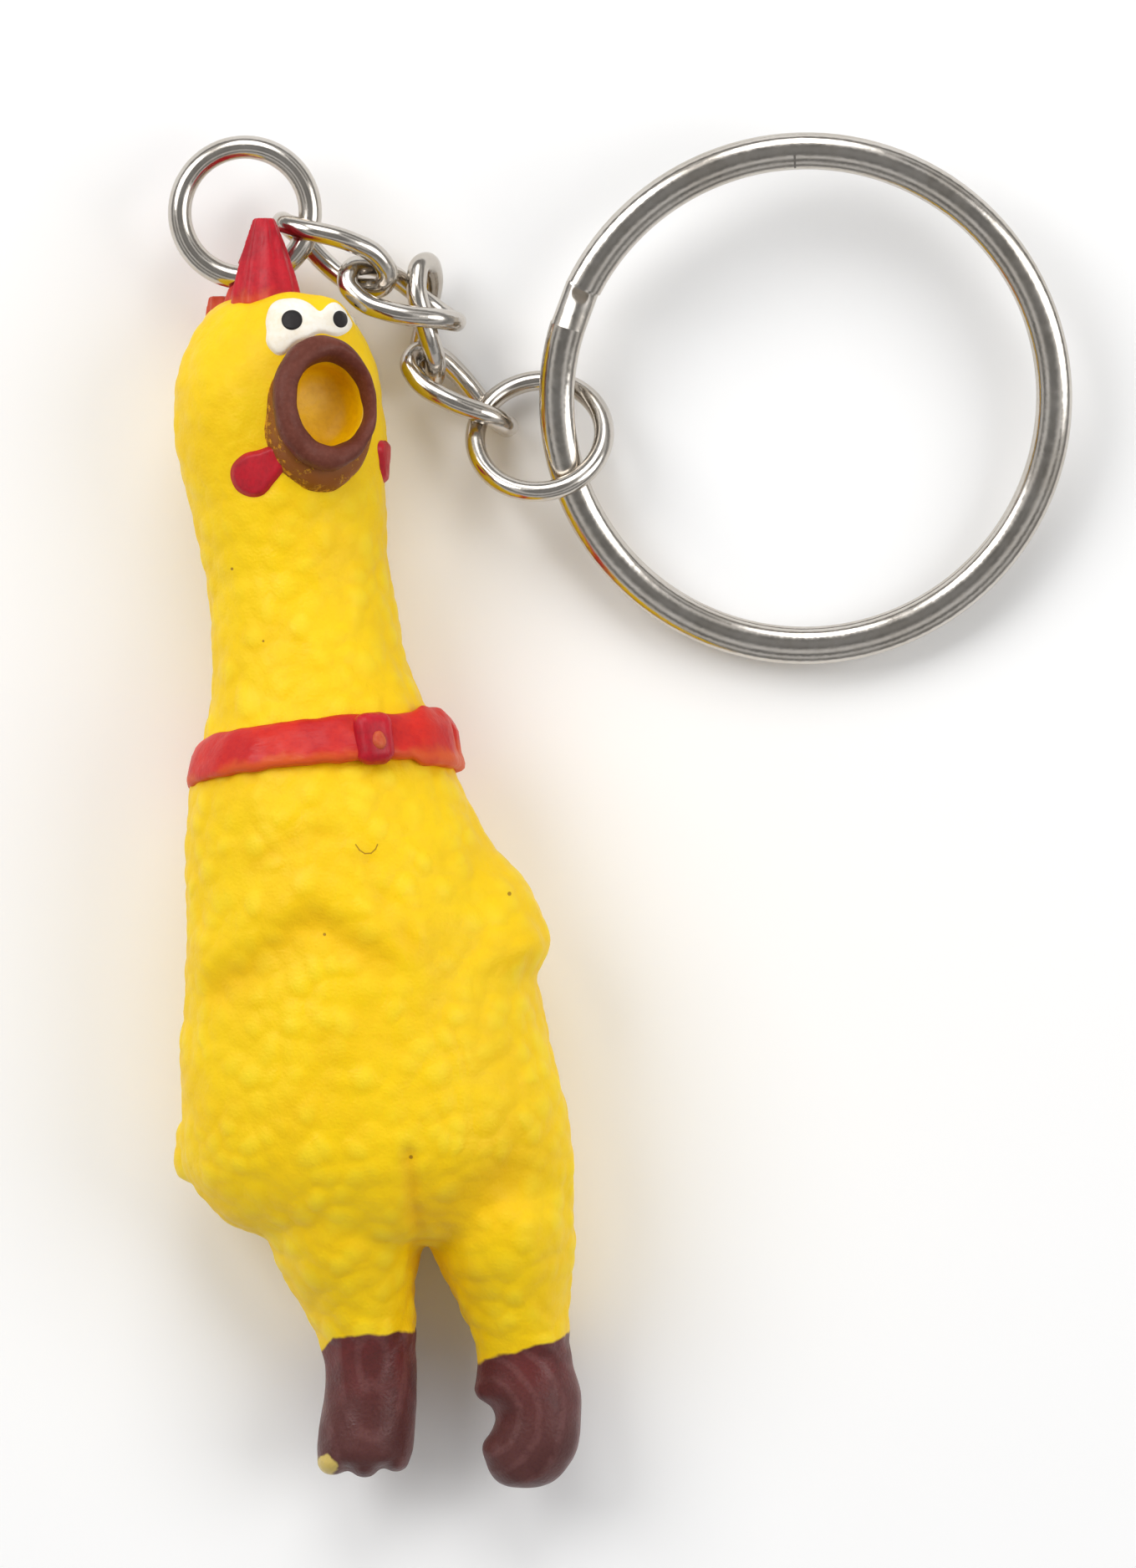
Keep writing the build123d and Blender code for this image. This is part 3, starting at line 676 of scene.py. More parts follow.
def shapeSkin():
    bm = bmesh.new()
    for part in ("trunk", "legRight", "legLeft"):
        tubeAlong(bm, skin[part])
    root, tip, rootRadius, tipRadius = skin["tail"]
    way = (Vector(tip) - Vector(root)).to_track_quat("Z", "Y").to_matrix().to_4x4()
    ends = [addRing(bm, Matrix.Translation(Vector(point) * mm) @ way, radius, radius, 24)
            for point, radius in ((root, rootRadius), (tip, tipRadius))]
    bridgeRings(bm, ends)
    for x, y, z, radius in skin["toes"]:
        place = Matrix.Translation((x * mm, y * mm, z * mm)) @ Matrix.Diagonal((*skin["toeShape"], 1))
        bmesh.ops.create_icosphere(bm, subdivisions=3, radius=radius * mm, matrix=place)
    bmesh.ops.recalc_face_normals(bm, faces=bm.faces)
    whole = toObject("skinForm", bm, None)
    rounder = whole.modifiers.new("round", "SUBSURF")
    rounder.levels = rounder.render_levels = 2
    bake(whole)
    remesh(whole, skin["voxel"], skin["smoothing"])
    low, high = skin["hipBand"]
    bm = bmesh.new()
    bm.from_mesh(whole.data)
    hips = [v for v in bm.verts if low * mm < v.co.y < high * mm]
    relax(bm, hips, skin["hipSmoothing"])
    bm.to_mesh(whole.data)
    bm.free()
    return whole


def gooseHeight(p):
    # height of the bump pattern at a point, from 0 to 1
    slow = p * 0.45
    swirl = Vector([noise.noise(slow + Vector(start)) for start in gooseBumps["swirlFrom"]])
    shifted = p / gooseBumps["pitch"] + 0.35 * swirl
    distances, centres = noise.voronoi(shifted, distance_metric="DISTANCE")
    near = distances[0] / gooseBumps["reach"]
    size = 0.5 + 0.5 * abs(noise.cell(centres[0] * 7.3))
    return max(0.0, 1 - near * near) ** 1.3 * size


def calmAt(p, facing):
    calm = 1.0
    if facing > 0:
        for x, y, radius in gooseBumps["calm"]:
            calm = min(calm, ramp(math.hypot(p.x - x, p.y - y), radius * 0.8, radius * 1.15))
    headSmooth = 1 - 0.35 * ramp(p.y, 14, 20)
    feetSmooth = 0.15 + 0.85 * ramp(p.y, -31.5, -29.5)
    return calm * headSmooth * feetSmooth


def wingLift(p):
    across = ramp(p.x, leftWing["front"], leftWing["side"])
    grow = ramp(-p.y, -leftWing["top"], -leftWing["full"])
    drop = 1 - ramp(-p.y, -leftWing["bottom"], -leftWing["bottom"] + leftWing["drop"])
    around = ramp(p.z, 1.0, 4.0)
    return leftWing["height"] * across * grow * drop * around


def carveSkin(whole):
    mesh = whole.data
    # gooseBump also sets the painted highlight on the bump tops in the vinyl's colour
    goose = mesh.attributes.new("gooseBump", "FLOAT", "POINT")
    # hollowShade holds the painted shade of the grooves
    shade = mesh.attributes.new("hollowShade", "FLOAT", "POINT")
    moves, gooseValues, shadeValues = [], [], []
    for vertex in mesh.vertices:
        p = vertex.co / mm
        normal = vertex.normal
        move = gooseBumps["wander"] * noise.noise(p * 0.3)
        dark = 0.0
        front = ramp(normal.z, 0.1, 0.55)
        if front > 0:
            for points, width, height, darkness in strokes:
                reach = strokeDistance(p.x, p.y, points) / width
                if reach < 3:
                    fall = math.exp(-reach * reach) * front
                    move += height * fall
                    dark += darkness * fall
            for x, y, radius, height in mounds:
                reach = math.hypot(p.x - x, p.y - y) / radius
                if reach < 1.6:
                    move += height * front * max(0.0, 1 - reach * reach / 2.56) ** 2
        move += wingLift(p)
        bump = gooseHeight(p) * calmAt(p, normal.z)
        move += gooseBumps["height"] * bump
        moves.append(vertex.co + normal * move * mm)
        gooseValues.append(min(bump, 1.0))
        shadeValues.append(min(dark, 1.0))
    for vertex, place in zip(mesh.vertices, moves):
        vertex.co = place
        vertex.co.z = max(place.z, 0.02 * mm)
    goose.data.foreach_set("value", gooseValues)
    shade.data.foreach_set("value", shadeValues)


beakPlace = {
    "centre": (-16.45, 22.6, 12.35),
    "base": (-16.98, 21.75, 10.3),
    "turn": 24.0,
    "lift": 8.0,
    "segments": 72,
    # rings are (distance along the beak's axis from the lip's middle, half width, half height)
    "mouth": [(0.6, 2.42, 2.7), (-3.75, 2.3, 2.65)],
    "mouthShift": 0.38,     # the opening sits nearer the beak's left edge
}


def faceFrame(origin):
    turn, lift = math.radians(beakPlace["turn"]), math.radians(beakPlace["lift"])
    across = Vector((math.cos(turn), 0, -math.sin(turn)))
    out = Vector((math.sin(turn) * math.cos(lift), math.sin(lift), math.cos(turn) * math.cos(lift)))
    up = out.cross(across)
    turned = Matrix((across, up, out)).transposed().to_4x4()
    return Matrix.Translation(Vector(origin) * mm) @ turned


def beakRing(bm, along, halfWidth, halfHeight, origin="centre", shift=0.0):
    place = faceFrame(beakPlace[origin]) @ Matrix.Translation((shift * mm, 0, along * mm))
    return addRing(bm, place, halfWidth, halfHeight, beakPlace["segments"])


def openMouth(whole):
    bm = bmesh.new()
    bridgeRings(bm, [beakRing(bm, *ring, shift=beakPlace["mouthShift"]) for ring in beakPlace["mouth"]])
    bmesh.ops.recalc_face_normals(bm, faces=bm.faces)
    cutWith(whole, toObject("mouthCutter", bm, None))


def cutSkin(whole):
    # the moulding is cut where it is to bend, and every part keeps the whole one's shading at the cuts
    bm = bmesh.new()
    bm.from_mesh(whole.data)
    for height in (skin["cutY"], skin["ankleY"]):
        bmesh.ops.bisect_plane(bm, geom=bm.verts[:] + bm.edges[:] + bm.faces[:], dist=0.0000001,
                               plane_co=(0, height * mm, 0), plane_no=(0, 1, 0))
    lower = [f for f in bm.faces if f.calc_center_median().y < skin["cutY"] * mm]
    geometry = lower + list(dict.fromkeys(v for f in lower for v in f.verts))
    geometry += list(dict.fromkeys(e for f in lower for e in f.edges))
    bmesh.ops.bisect_plane(bm, geom=geometry, dist=0.0000001, plane_co=(skin["crotchX"] * mm, 0, 0),
                           plane_no=(1, 0, 0))
    bm.normal_update()
    layer = bm.verts.layers.float_vector.new("restNormal")
    for vertex in bm.verts:
        vertex[layer] = vertex.normal
    cutY, ankleY, crotchX = (skin[k] * mm for k in ("cutY", "ankleY", "crotchX"))
    parts = {
        "skinTrunk": lambda c: c.y > cutY,
        "skinLegRight": lambda c: ankleY < c.y < cutY and c.x < crotchX,
        "skinLegLeft": lambda c: ankleY < c.y < cutY and c.x > crotchX,
        "skinFootRight": lambda c: c.y < ankleY and c.x < crotchX,
        "skinFootLeft": lambda c: c.y < ankleY and c.x > crotchX,
    }
    looks = {"skinTrunk": vinyl, "skinLegRight": vinylRight, "skinLegLeft": vinylLeft,
             "skinFootRight": vinylRight, "skinFootLeft": vinylLeft}
    made = {}
    for name, keep in parts.items():
        part = bm.copy()
        away = [f for f in part.faces if not keep(f.calc_center_median())]
        bmesh.ops.delete(part, geom=away, context="FACES")
        bmesh.ops.holes_fill(part, edges=[e for e in part.edges if e.is_boundary], sides=0)
        piece = toObject(name, part, looks[name], tidyNormals=False)
        kept = piece.data.attributes["restNormal"].data
        normals = [tuple(item.vector) for item in kept]
        piece.data.attributes.remove(piece.data.attributes["restNormal"])
        piece.data.normals_split_custom_set_from_vertices(normals)
        made[name] = piece
    bm.free()
    return made


whole = shapeSkin()
print("skin remeshed:", len(whole.data.polygons), "faces")
carveSkin(whole)
skinTree = BVHTree.FromPolygons([v.co.copy() for v in whole.data.vertices],
                                [p.vertices[:] for p in whole.data.polygons])
openMouth(whole)
skinParts = cutSkin(whole)
bpy.data.objects.remove(whole)
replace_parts(skinParts["skinTrunk"], "torso_shell", "wing_left", "wing_right", "tail", "head_shell")
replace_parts(skinParts["skinLegRight"], "leg_right")
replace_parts(skinParts["skinLegLeft"], "leg_left")
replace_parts(skinParts["skinFootRight"], "foot_right")
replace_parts(skinParts["skinFootLeft"], "foot_left")
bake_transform(skinParts["skinTrunk"])
for side, body in (("right", "leg_right"), ("left", "leg_left")):
    leg = skinParts["skinLeg" + side.capitalize()]
    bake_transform(leg)
    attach(skinParts["skinFoot" + side.capitalize()], body)
print("skin cut into", len(skinParts), "pieces")


# Beak: brown lip, mottled side behind it and the golden lining of the mouth
beak = {
    # lip rings end with how much of the opening's shift they take
    "lip": [(-0.75, 2.78, 3.5, 0), (-0.4, 2.98, 3.74, 0), (0.05, 3.02, 3.78, 0), (0.42, 2.95, 3.68, 0.05),
            (0.64, 2.76, 3.4, 0.3), (0.7, 2.54, 3.06, 0.7), (0.6, 2.34, 2.76, 1), (0.36, 2.22, 2.54, 1),
            (0.0, 2.18, 2.44, 1), (-0.75, 2.18, 2.44, 1), (-0.85, 2.4, 2.9, 0.5)],
    "lipUneven": 0.09,
    # side rings run from the head outwards, then back along the mouth's wall
    "side": [("base", -1.6, 3.1, 4.3, 0), ("base", -0.6, 3.12, 4.35, 0), ("base", 0.35, 3.08, 4.15, 0),
             ("base", 1.15, 2.98, 3.85, 0), ("centre", -0.7, 2.86, 3.6, 0), ("centre", -0.72, 2.44, 2.7, 1),
             ("centre", -2.6, 2.36, 2.7, 1)],
    "sideUneven": 0.14,
    # lining rings run inwards to the middle of the throat, then the back of the plug
    "lining": [(-0.55, 2.4, 2.66), (-0.5, 2.26, 2.5), (-0.7, 2.12, 2.38), (-1.3, 2.06, 2.34),
               (-1.9, 1.95, 2.25), (-2.3, 1.7, 1.95), (-2.5, 1.1, 1.3), (-2.55, 0.3, 0.35)],
    "liningBack": [(-3.62, 0.3, 0.35), (-3.62, 2.27, 2.62)],
}


def makeUneven(bm, amount, scale):
    bm.normal_update()
    for vertex in bm.verts:
        vertex.co += vertex.normal * amount * mm * noise.noise(vertex.co / mm * scale)


bm = bmesh.new()
lipRings = [beakRing(bm, along, w, h, shift=share * beakPlace["mouthShift"])
            for along, w, h, share in beak["lip"]]
bridgeRings(bm, lipRings, closed=True)
bmesh.ops.recalc_face_normals(bm, faces=bm.faces)
bmesh.ops.subdivide_edges(bm, edges=bm.edges[:], cuts=1, use_grid_fill=True, smooth=0.6)
makeUneven(bm, beak["lipUneven"], 0.9)
lip = toObject("beakLip", bm, lipPaint)
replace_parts(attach(lip, "head"), "beak_rim")

bm = bmesh.new()
sideRings = [beakRing(bm, along, w, h, origin, share * beakPlace["mouthShift"])
             for origin, along, w, h, share in beak["side"]]
bridgeRings(bm, sideRings, closed=True)
bmesh.ops.recalc_face_normals(bm, faces=bm.faces)
bmesh.ops.subdivide_edges(bm, edges=bm.edges[:], cuts=1, use_grid_fill=True, smooth=0.6)
makeUneven(bm, beak["sideUneven"], 0.8)
beakSide = toObject("beakSide", bm, beakSidePaint)
lipMiddle = faceFrame(beakPlace["centre"]).inverted()
near = beakSide.data.attributes.new("lipNear", "FLOAT", "POINT")
near.data.foreach_set("value", [ramp((lipMiddle @ v.co).z / mm, -2.6, -0.8) for v in beakSide.data.vertices])
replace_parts(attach(beakSide, "head"), "beak_base")

bm = bmesh.new()
liningRings = [beakRing(bm, *ring, shift=beakPlace["mouthShift"]) for ring in beak["lining"]]
bridgeRings(bm, liningRings, capEnds=False)
bmesh.ops.contextual_create(bm, geom=ringEdges(liningRings[-1]))
backRings = [beakRing(bm, *ring, shift=beakPlace["mouthShift"]) for ring in beak["liningBack"]]
bridgeRings(bm, backRings, capEnds=False)
bmesh.ops.contextual_create(bm, geom=ringEdges(backRings[0]))
bmesh.ops.bridge_loops(bm, edges=ringEdges(liningRings[0]) + ringEdges(backRings[-1]))
lining = toObject("mouthLining", bm, paints["mouthPaint"])
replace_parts(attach(lining, "head"), "mouth_lining")
print("beak ready")


# Thick paint that follows the skin under it: eyes and wattles
def ovalDepth(x, y, centreX, centreY, halfWidth, halfHeight, turn=0.0):
    # how far inside an oval a point is, below 0 outside
    c, s = math.cos(turn), math.sin(turn)
    u = ((x - centreX) * c + (y - centreY) * s) / halfWidth
    w = (-(x - centreX) * s + (y - centreY) * c) / halfHeight
    return (1 - math.hypot(u, w)) * min(halfWidth, halfHeight)


def meltTogether(depths, softness):
    total = sum(math.exp(d / softness) for d in depths)
    return softness * math.log(total)


# Each patch: middle and half size of the grid it is cut from, side tilt in degrees, height over the skin,
# width of the rounded edge, grid step, how far its ovals melt together, unevenness, paint, node replaced
def patch(origin, half, tilt, lift, edge, step, soft, uneven, material, node, ovals):
    return {"origin": origin, "half": half, "tilt": tilt, "lift": lift, "edge": edge, "step": step,
            "soft": soft, "uneven": uneven, "material": material, "node": node, "ovals": ovals}


# Ovals are (x, y, half width, half height, turn); on a tilted patch they are counted from its middle,
# x towards the beak
thickPaint = {
    "eyeWhites": patch((-17.3, 27.1), (3.2, 2.6), 0.0, 0.22, 0.22, 0.075, 0.16, 0.1, "eyeWhitePaint",
                       "eye_whites", [(-18.35, 27.25, 1.36, 1.24, 0.0), (-18.95, 26.1, 0.68, 0.72, 0.3),
                                      (-15.8, 27.4, 0.82, 0.92, 0.0), (-17.1, 27.1, 1.0, 0.42, 0.0)]),
    "pupilRight": patch((-18.3, 27.25), (1.0, 1.0), 0.0, 0.33, 0.16, 0.05, 0.1, 0.04, "pupilPaint",
                        "pupil_right", [(-18.3, 27.25, 0.6, 0.6, 0.0)]),
    "pupilLeft": patch((-15.65, 27.36), (0.9, 0.9), 0.0, 0.33, 0.16, 0.05, 0.1, 0.04, "pupilPaint",
                       "pupil_left", [(-15.65, 27.36, 0.42, 0.52, 0.25)]),
    "wattleRight": patch((-20.2, 19.1), (2.6, 2.2), 0.0, 0.32, 0.25, 0.07, 0.2, 0.08, "crimsonPaint",
                         "wattle_right", [(-20.5, 18.66, 1.1, 1.15, 0.3), (-19.6, 19.25, 1.0, 0.72, 0.55),
                                          (-18.8, 19.7, 0.9, 0.42, 0.5)]),
    "wattleLeft": patch((-13.4, 19.5), (2.0, 2.0), 62.0, 0.24, 0.25, 0.07, 0.2, 0.08, "crimsonPaint",
                        "wattle_left", [(0.15, 0.0, 1.15, 1.05, 0.0), (0.95, 0.5, 0.8, 0.5, 0.5)]),
}
paintSunk = 0.14        # how deep a patch's rim reaches into the skin
paintThickness = 0.2
headAxisZ = 6.0


def layPaint(name):
    values = thickPaint[name]
    tilt = math.radians(values["tilt"])
    halfX, halfY = values["half"]
    bm = bmesh.new()
    bmesh.ops.create_grid(bm, x_segments=round(2 * halfX / values["step"]),
                          y_segments=round(2 * halfY / values["step"]), size=1.0)
    depths = {}
    straight = tilt == 0.0
    originX, originY = values["origin"]
    centre = Vector((originX, originY, headAxisZ))
    across = Vector((math.cos(tilt), 0, -math.sin(tilt)))
    out = Vector((math.sin(tilt), 0, math.cos(tilt)))
    for vertex in bm.verts:
        u, w = vertex.co.x * halfX, vertex.co.y * halfY
        x, y = (originX + u, originY + w) if straight else (-u, w)
        depth = meltTogether([ovalDepth(x, y, *oval) for oval in values["ovals"]], values["soft"])
        place = centre + across * u + Vector((0, w, 0))
        depth += values["uneven"] * noise.noise(place * 1.1)
        hit = skinTree.ray_cast((place + out * 14) * mm, -out)[0]
        risen = ramp(depth, -values["edge"], values["edge"] * 0.6)
        height = -paintSunk + (values["lift"] + paintSunk) * risen
        vertex.co = (hit or place * mm) + out * height * mm
        depths[vertex] = depth if hit else -9.0     # where the ray meets no skin there is no paint
    outside = [f for f in bm.faces if all(depths[v] < -values["edge"] for v in f.verts)]
    bmesh.ops.delete(bm, geom=outside, context="FACES")
    relax(bm, [v for v in bm.verts if not v.is_boundary], 2)
    bm.normal_update()
    bmesh.ops.solidify(bm, geom=bm.faces[:], thickness=paintThickness * mm)
    piece = toObject(name, bm, paints[values["material"]])
    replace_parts(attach(piece, "head"), values["node"])


for name in thickPaint:
    layPaint(name)
print("eyes and wattles painted")


# Comb: three fluted spikes melted together, with a channel for the ring
comb = {
    # base centre, base half sizes, tip centre, tip half sizes
    "lobes": [
        ((-19.85, 28.2, 7.4), (2.0, 1.6), (-19.97, 33.1, 7.15), (0.56, 0.62)),
        ((-20.9, 27.3, 4.9), (1.7, 2.05), (-20.15, 32.15, 5.0), (0.72, 1.3)),
        ((-21.9, 26.6, 3.4), (1.5, 1.6), (-22.55, 28.9, 3.2), (0.6, 0.8)),
    ],
    "flutes": 9,
    "fluteDepth": 0.09,
    "voxel": 0.1,
    "ringCentre": (-21.1, 33.55, 4.9),
    "ringHeading": -4.0,
    "ringRadius": 3.67,
    "channel": 0.92,
    "steps": 9,             # rings up each lobe, less one
    "smoothing": 3,
    "rootColour": rgb(208, 84, 42),
    "rootLine": (29.9, 29.1),
    "rearLine": (-21.6, -22.3),
    "rootShare": 0.75,
}


def makeComb():
    bm = bmesh.new()
    for base, baseSize, tip, tipSize in comb["lobes"]:
        rings = []
        for step in range(comb["steps"] + 1):
            t = step / comb["steps"]
            x, y, z = (a + (b - a) * t for a, b in zip(base, tip))
            ease = t ** 1.3
            halfX, halfZ = (a + (b - a) * ease for a, b in zip(baseSize, tipSize))
            rings.append(addRing(bm, acrossLength(x, y, z), halfX, halfZ, 54))
        bridgeRings(bm, rings)
        for ring in rings:
            middle = sum((v.co for v in ring), Vector()) / len(ring)
            for vertex in ring:
                spoke = vertex.co - middle
                angle = math.atan2(spoke.z, spoke.x)
                wave = math.cos(comb["flutes"] * angle + 0.8 * math.sin(angle * 2))
                vertex.co += spoke.normalized() * comb["fluteDepth"] * mm * wave
    bmesh.ops.recalc_face_normals(bm, faces=bm.faces)
    piece = toObject("combForm", bm, None)
    remesh(piece, comb["voxel"], comb["smoothing"])
    bm = bmesh.new()
    upright = Matrix.Rotation(math.radians(90), 4, "X")
    profile = bmesh.ops.create_circle(bm, segments=20, radius=comb["channel"] * mm,
                                      matrix=Matrix.Translation((comb["ringRadius"] * mm, 0, 0)) @ upright)
    bmesh.ops.spin(bm, geom=profile["verts"] + bm.edges[:], cent=(0, 0, 0), axis=(0, 0, 1), angle=2 * math.pi,
                   steps=72, use_merge=True)
    bmesh.ops.remove_doubles(bm, verts=bm.verts, dist=0.0000005)
    heading = Matrix.Rotation(math.radians(comb["ringHeading"]), 4, "Z")
    place = Matrix.Translation(Vector(comb["ringCentre"]) * mm) @ heading
    bmesh.ops.transform(bm, matrix=place, verts=bm.verts)
    bmesh.ops.recalc_face_normals(bm, faces=bm.faces)
    cutWith(piece, toObject("ringChannel", bm, None))
    bm = bmesh.new()
    bm.from_mesh(piece.data)
    bpy.data.objects.remove(piece)
    return toObject("combSpikes", bm, None)


def makeCombPaint():
    # crimson, thinning to the orange-red of the bare root
    material, tree, shader = startMaterial("combPaint", {"Specular IOR Level": 0.3})
    place = placeOn(tree)
    axes = axesOf(tree, place)
    level = calc(tree, "MULTIPLY_ADD", cloudAt(tree, place, 1400.0, 3.0), 1.4 * mm, axes["Y"])
    root = softStep(tree, level, comb["rootLine"][0] * mm, comb["rootLine"][1] * mm)
    rear = softStep(tree, axes["X"], comb["rearLine"][0] * mm, comb["rearLine"][1] * mm)
    thin = calc(tree, "MAXIMUM", root, calc(tree, "MULTIPLY", rear, 0.8))
    crimson = paintLooks["crimsonPaint"]
    red = useGroup(tree, toneDrift, {"Colour": crimson["colour"], "Drift Colour": crimson["drift"],
                                     "Scale": 600.0, "Amount": 0.7, "Speckle": 0.3})
    bare = calc(tree, "MULTIPLY", thin, comb["rootShare"])
    colour = mixColour(tree, bare, red, comb["rootColour"])
    tree.links.new(colour, shader.inputs["Base Color"])
    rough = useGroup(tree, roughSpread, {"Low": 0.32, "High": 0.5, "Scale": 900.0})
    tree.links.new(rough, shader.inputs["Roughness"])
    streaks = useGroup(tree, fineGrain, {"Scale": 2600.0, "Pores": 0.2, "Stretch": (1, 0.18, 1)})
    addBump(tree, shader, streaks, 0.00007, 0.9)
    return material


combPiece = makeComb()
combPiece.data.materials.append(makeCombPaint())
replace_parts(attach(combPiece, "head"), "comb")
print("comb ready")


# Collar with its keeper at the left, and the buckle with its stud
collar = {
    "centre": (-16.9, 3.2, 6.8),
    "tilt": (-6.0, 5.5),        # degrees about X and about Z
    # distance up the band and growth over the skin
    "profile": [(-1.2, -0.5), (-1.32, 0.1), (-1.2, 0.42), (-0.8, 0.6), (0.0, 0.66), (0.8, 0.6),
                (1.2, 0.42), (1.32, 0.1), (1.2, -0.5)],
    "segments": 96,
    "girth": ((4.5, -16.6, 6.35, 6.85, 5.7), (1.3, -16.65, 7.6, 7.15, 6.3)),
    "keeper": {"x": -11.7, "full": -11.0, "reach": 0.05, "spread": 0.4},
    "uneven": 0.14,
    "red": rgb(214, 44, 32),
    "deepRed": rgb(190, 30, 34),
    "orange": rgb(216, 86, 36),
}


def makeCollarPaint():
    # red brushed on thickly at the top, thinning to orange at the lower edge
    material, tree, shader = startMaterial("collarBandPaint", {"Specular IOR Level": 0.32})
    low = addNode(tree, "ShaderNodeAttribute", attribute_name="lowEdge").outputs["Fac"]
    brush = cloudAt(tree, placeOn(tree), 620.0, 4.0)
    amount = calc(tree, "MULTIPLY_ADD", brush, 0.9, calc(tree, "MULTIPLY", low, 0.5))
    mask = softStep(tree, amount, 0.6, 1.0)
    red = useGroup(tree, toneDrift, {"Colour": collar["red"], "Drift Colour": collar["deepRed"],
                                     "Scale": 420.0, "Amount": 0.7, "Speckle": 0.3})
    colour = mixColour(tree, mask, red, collar["orange"])
    tree.links.new(colour, shader.inputs["Base Color"])
    rough = useGroup(tree, roughSpread, {"Low": 0.36, "High": 0.52, "Scale": 900.0})
    tree.links.new(rough, shader.inputs["Roughness"])
    grain = useGroup(tree, fineGrain, {"Scale": 2600.0, "Pores": 0.2, "Stretch": (0.35, 1, 1)})
    addBump(tree, shader, grain, 0.00006, 0.8)
    return material


def makeCollar():
    turned = Matrix.Rotation(math.radians(collar["tilt"][1]), 4, "Z")
    turned = Matrix.Rotation(math.radians(collar["tilt"][0]), 4, "X") @ turned
    place = Matrix.Translation(Vector(collar["centre"]) * mm) @ turned
    bm = bmesh.new()
    high, low = collar["girth"]
    rings = []
    for up, growth in collar["profile"]:
        share = (high[0] - collar["centre"][1] - up) / (high[0] - low[0])
        x, halfX, z, halfZ = (high[k] + (low[k] - high[k]) * share for k in (1, 2, 3, 4))
        at = place @ acrossLength(x - collar["centre"][0], up, z - collar["centre"][2])
        rings.append(addRing(bm, at, halfX + growth, halfZ + growth, collar["segments"]))
    bridgeRings(bm, rings, closed=True)
    bmesh.ops.recalc_face_normals(bm, faces=bm.faces)
    bmesh.ops.subdivide_edges(bm, edges=bm.edges[:], cuts=1, use_grid_fill=True, smooth=0.4)
    bm.normal_update()
    keeper = collar["keeper"]
    back = place.inverted()
    for vertex in bm.verts:
        p = vertex.co / mm
        grow = ramp(p.x, keeper["x"], keeper["full"]) * ramp(p.z, 1.5, 3.5)
        vertex.co += vertex.normal * mm * (collar["uneven"] * noise.noise(p * 0.8) + keeper["reach"] * grow)
        side = 1 if (back @ vertex.co).y > 0 else -1
        vertex.co.y += side * keeper["spread"] * grow * mm
        vertex.co.z = max(vertex.co.z, 0.02 * mm)
    band = toObject("collarBand", bm, makeCollarPaint())
    thin = band.data.attributes.new("lowEdge", "FLOAT", "POINT")
    thin.data.foreach_set("value", [ramp(-(back @ v.co).y / mm, 0.1, 1.3) for v in band.data.vertices])
    return band


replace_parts(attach(makeCollar(), "torso"), "collar")

buckle = {
    "origin": (-13.75, 3.95, 13.0),
    "across": (0.92, 0.08, -0.38),
    "out": (0.38, 0.15, 0.91),
    "size": (2.1, 2.9, 1.5),
    "stud": (0.42, 0.54, 0.3),
    "studAt": (0.05, -0.2, 0.66),
    "corner": 0.7,
    "uneven": 0.12,
    "studUneven": 0.05,
}


def buckleFrame():
    out = Vector(buckle["out"]).normalized()
    up = out.cross(Vector(buckle["across"])).normalized()
    across = up.cross(out)
    turned = Matrix((across, up, out)).transposed().to_4x4()
    return Matrix.Translation(Vector(buckle["origin"]) * mm) @ turned


def scaled(x, y, z):
    return Matrix.Diagonal((x * mm, y * mm, z * mm, 1))


bm = bmesh.new()
bmesh.ops.create_cube(bm, size=1, matrix=buckleFrame() @ scaled(*buckle["size"]))
bmesh.ops.bevel(bm, geom=bm.edges[:], offset=buckle["corner"] * mm, affect="EDGES", segments=7, profile=0.5,
                material=-1)
makeUneven(bm, buckle["uneven"], 1.3)
buckleBlock = toObject("collarBuckle", bm, paints["crimsonPaint"])
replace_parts(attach(buckleBlock, "torso"), "collar_buckle")

bm = bmesh.new()
studPlace = buckleFrame() @ Matrix.Translation(Vector(buckle["studAt"]) * mm)
bmesh.ops.create_uvsphere(bm, u_segments=32, v_segments=16, radius=1,
                          matrix=studPlace @ scaled(*buckle["stud"]))
makeUneven(bm, buckle["studUneven"], 2.0)
stud = toObject("collarStud", bm, paints["studPaint"])
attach(stud, "torso")
print("collar ready")

# Metal and squeaker keep their own shapes from the frame
keptNodes = {name: nickel for name in ("comb_ring", "jump_ring", "split_ring")}
keptNodes.update({f"chain_link_{number}": nickel for number in range(1, 5)})
keptNodes.update({f"squeaker_{part}": paints["squeakerPlastic"] for part in ("barrel", "block", "reed")})
for nodeName, material in keptNodes.items():
    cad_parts[nodeName].data.materials.clear()
    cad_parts[nodeName].data.materials.append(material)
print("metal and squeaker finished")


# Floor, lights and camera
studio = {
    "floorSize": 2.0,
    "floorBelow": 0.05,             # mm under the object, so that the faces don't meet
    "floorColour": rgb(253, 253, 253),
    "floorDrift": rgb(251, 251, 251),
    "cameraAt": (-2.95, 1.45),      # mm over the floor
    "distance": 0.6,                # metres above the object's middle height
    "frameHeight": 87.9,            # mm seen from top to bottom
    "middleHeight": 6.0,
    "skyStrength": 0.5,
    # brightness of the sky from the horizon to straight up, as (height share, grey)
    "sky": [(0.0, 0.75), (0.25, 0.45), (0.5, 1.3), (0.72, 0.3), (0.86, 1.5), (0.95, 0.35), (1.0, 0.55)],
    # name: place in metres, size in metres, power in watts
    "lamps": {
        "softBoxLeft": ((-0.45, 0.3, 0.5), 0.45, 2.2),
        "softBoxRight": ((0.5, 0.05, 0.45), 0.45, 1.4),
        "softBoxTop": ((0.0, 0.55, 0.5), 0.45, 1.6),
    },
}


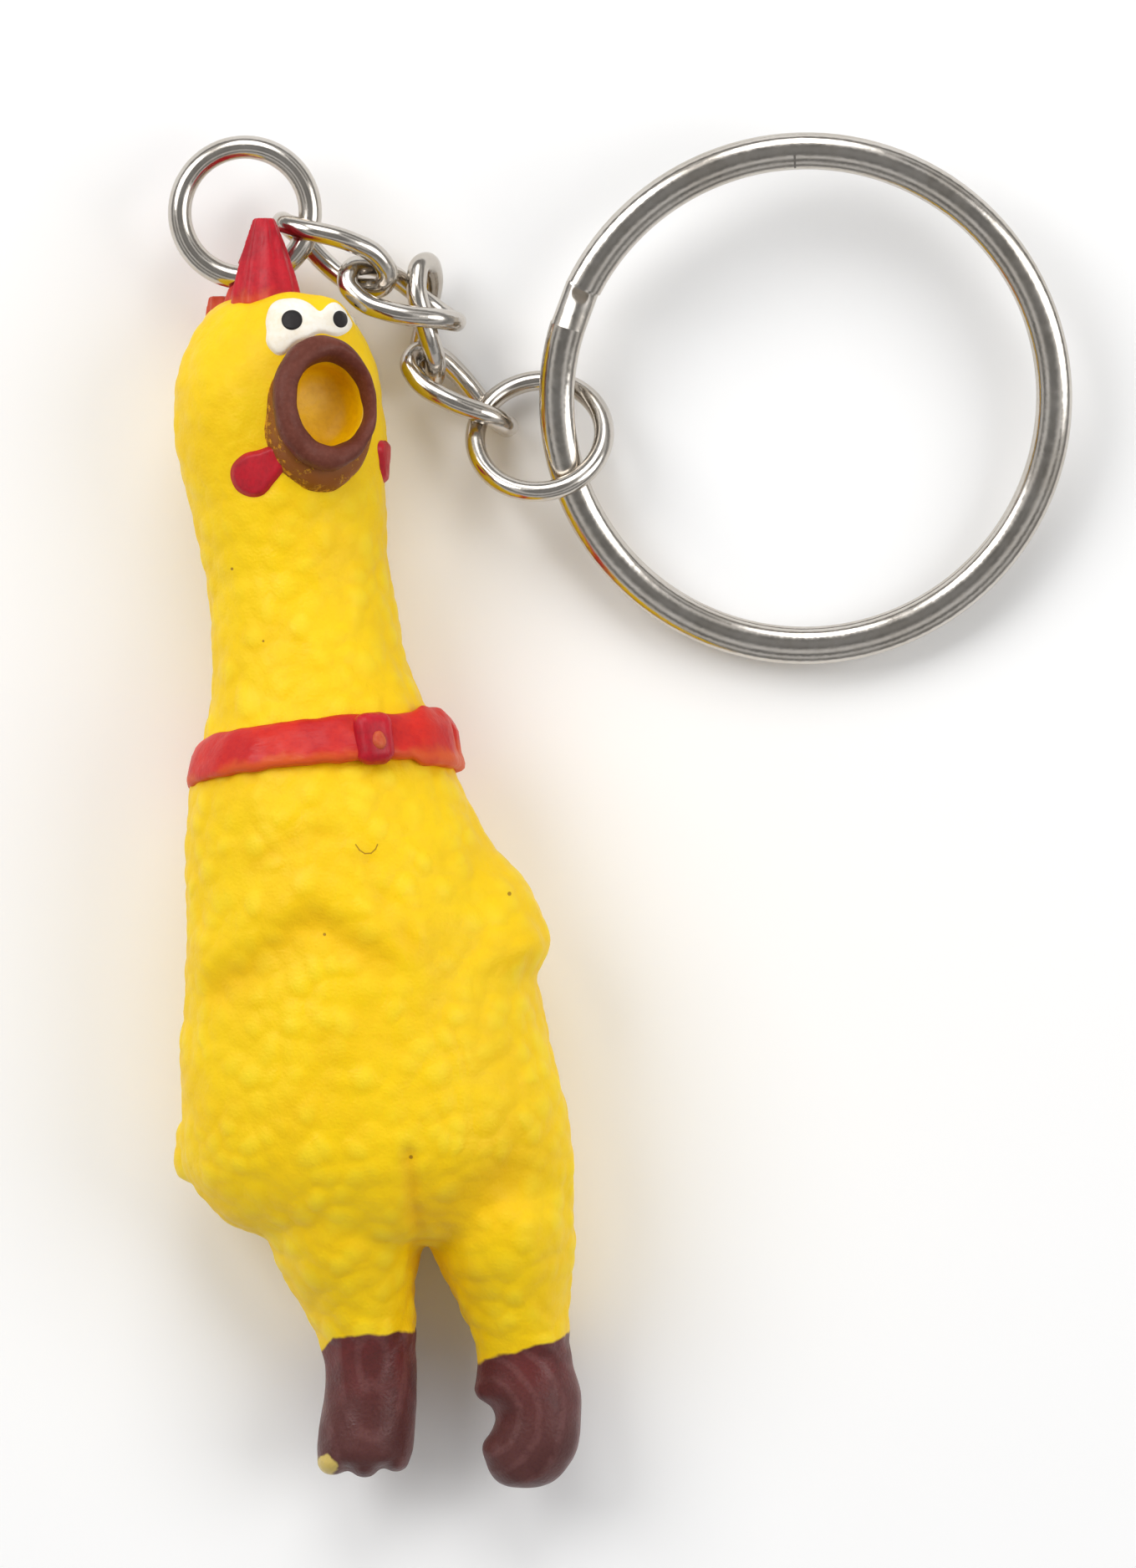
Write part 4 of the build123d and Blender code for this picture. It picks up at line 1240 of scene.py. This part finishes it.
def makeFloorMaterial():
    material, tree, shader = startMaterial("paleFloor", {"Specular IOR Level": 0.1})
    colour = useGroup(tree, toneDrift, {"Colour": studio["floorColour"],
                                        "Drift Colour": studio["floorDrift"],
                                        "Scale": 8.0, "Amount": 0.5, "Speckle": 0.1})
    tree.links.new(colour, shader.inputs["Base Color"])
    rough = useGroup(tree, roughSpread, {"Low": 0.8, "High": 0.9, "Scale": 30.0})
    tree.links.new(rough, shader.inputs["Roughness"])
    return material


bm = bmesh.new()
bmesh.ops.create_grid(bm, x_segments=2, y_segments=2, size=studio["floorSize"],
                      matrix=Matrix.Translation((0, 0, -studio["floorBelow"] * mm)))
floor = toObject("floor", bm, makeFloorMaterial())

for lampName, (place, size, power) in studio["lamps"].items():
    light = bpy.data.lights.new(lampName, "AREA")
    light.shape = "DISK"
    light.size = size
    light.energy = power
    lamp = bpy.data.objects.new(lampName, light)
    lamp.location = place
    lamp.rotation_mode = "QUATERNION"
    lamp.rotation_quaternion = (-Vector(place)).to_track_quat("-Z", "Y")
    bpy.context.scene.collection.objects.link(lamp)

world = bpy.data.worlds.new("softStudio")
world.use_nodes = True
sky = world.node_tree.nodes["Background"]
direction = addNode(world.node_tree, "ShaderNodeTexCoord").outputs["Generated"]
bands = addNode(world.node_tree, "ShaderNodeValToRGB", {"Fac": axesOf(world.node_tree, direction)["Z"]})
bands.color_ramp.interpolation = "EASE"
stops = bands.color_ramp.elements
for number, (height, grey) in enumerate(studio["sky"]):
    stop = stops[number] if number < 2 else stops.new(height)
    stop.position = height
    stop.color = (grey, grey, grey, 1)
world.node_tree.links.new(bands.outputs["Color"], sky.inputs["Color"])
sky.inputs["Strength"].default_value = studio["skyStrength"]
bpy.context.scene.world = world
bpy.context.scene.view_settings.view_transform = "Standard"

camera = bpy.data.objects.new("camera", bpy.data.cameras.new("camera"))
camera.data.sensor_width = 36
camera.data.lens = camera.data.sensor_width * studio["distance"] / (studio["frameHeight"] * mm)
camera.data.clip_end = 10
cameraX, cameraY = studio["cameraAt"]
cameraZ = studio["distance"] + studio["middleHeight"] * mm
camera.location = (cameraX * mm, cameraY * mm, cameraZ)
bpy.context.scene.collection.objects.link(camera)
bpy.context.scene.camera = camera
print("studio ready")
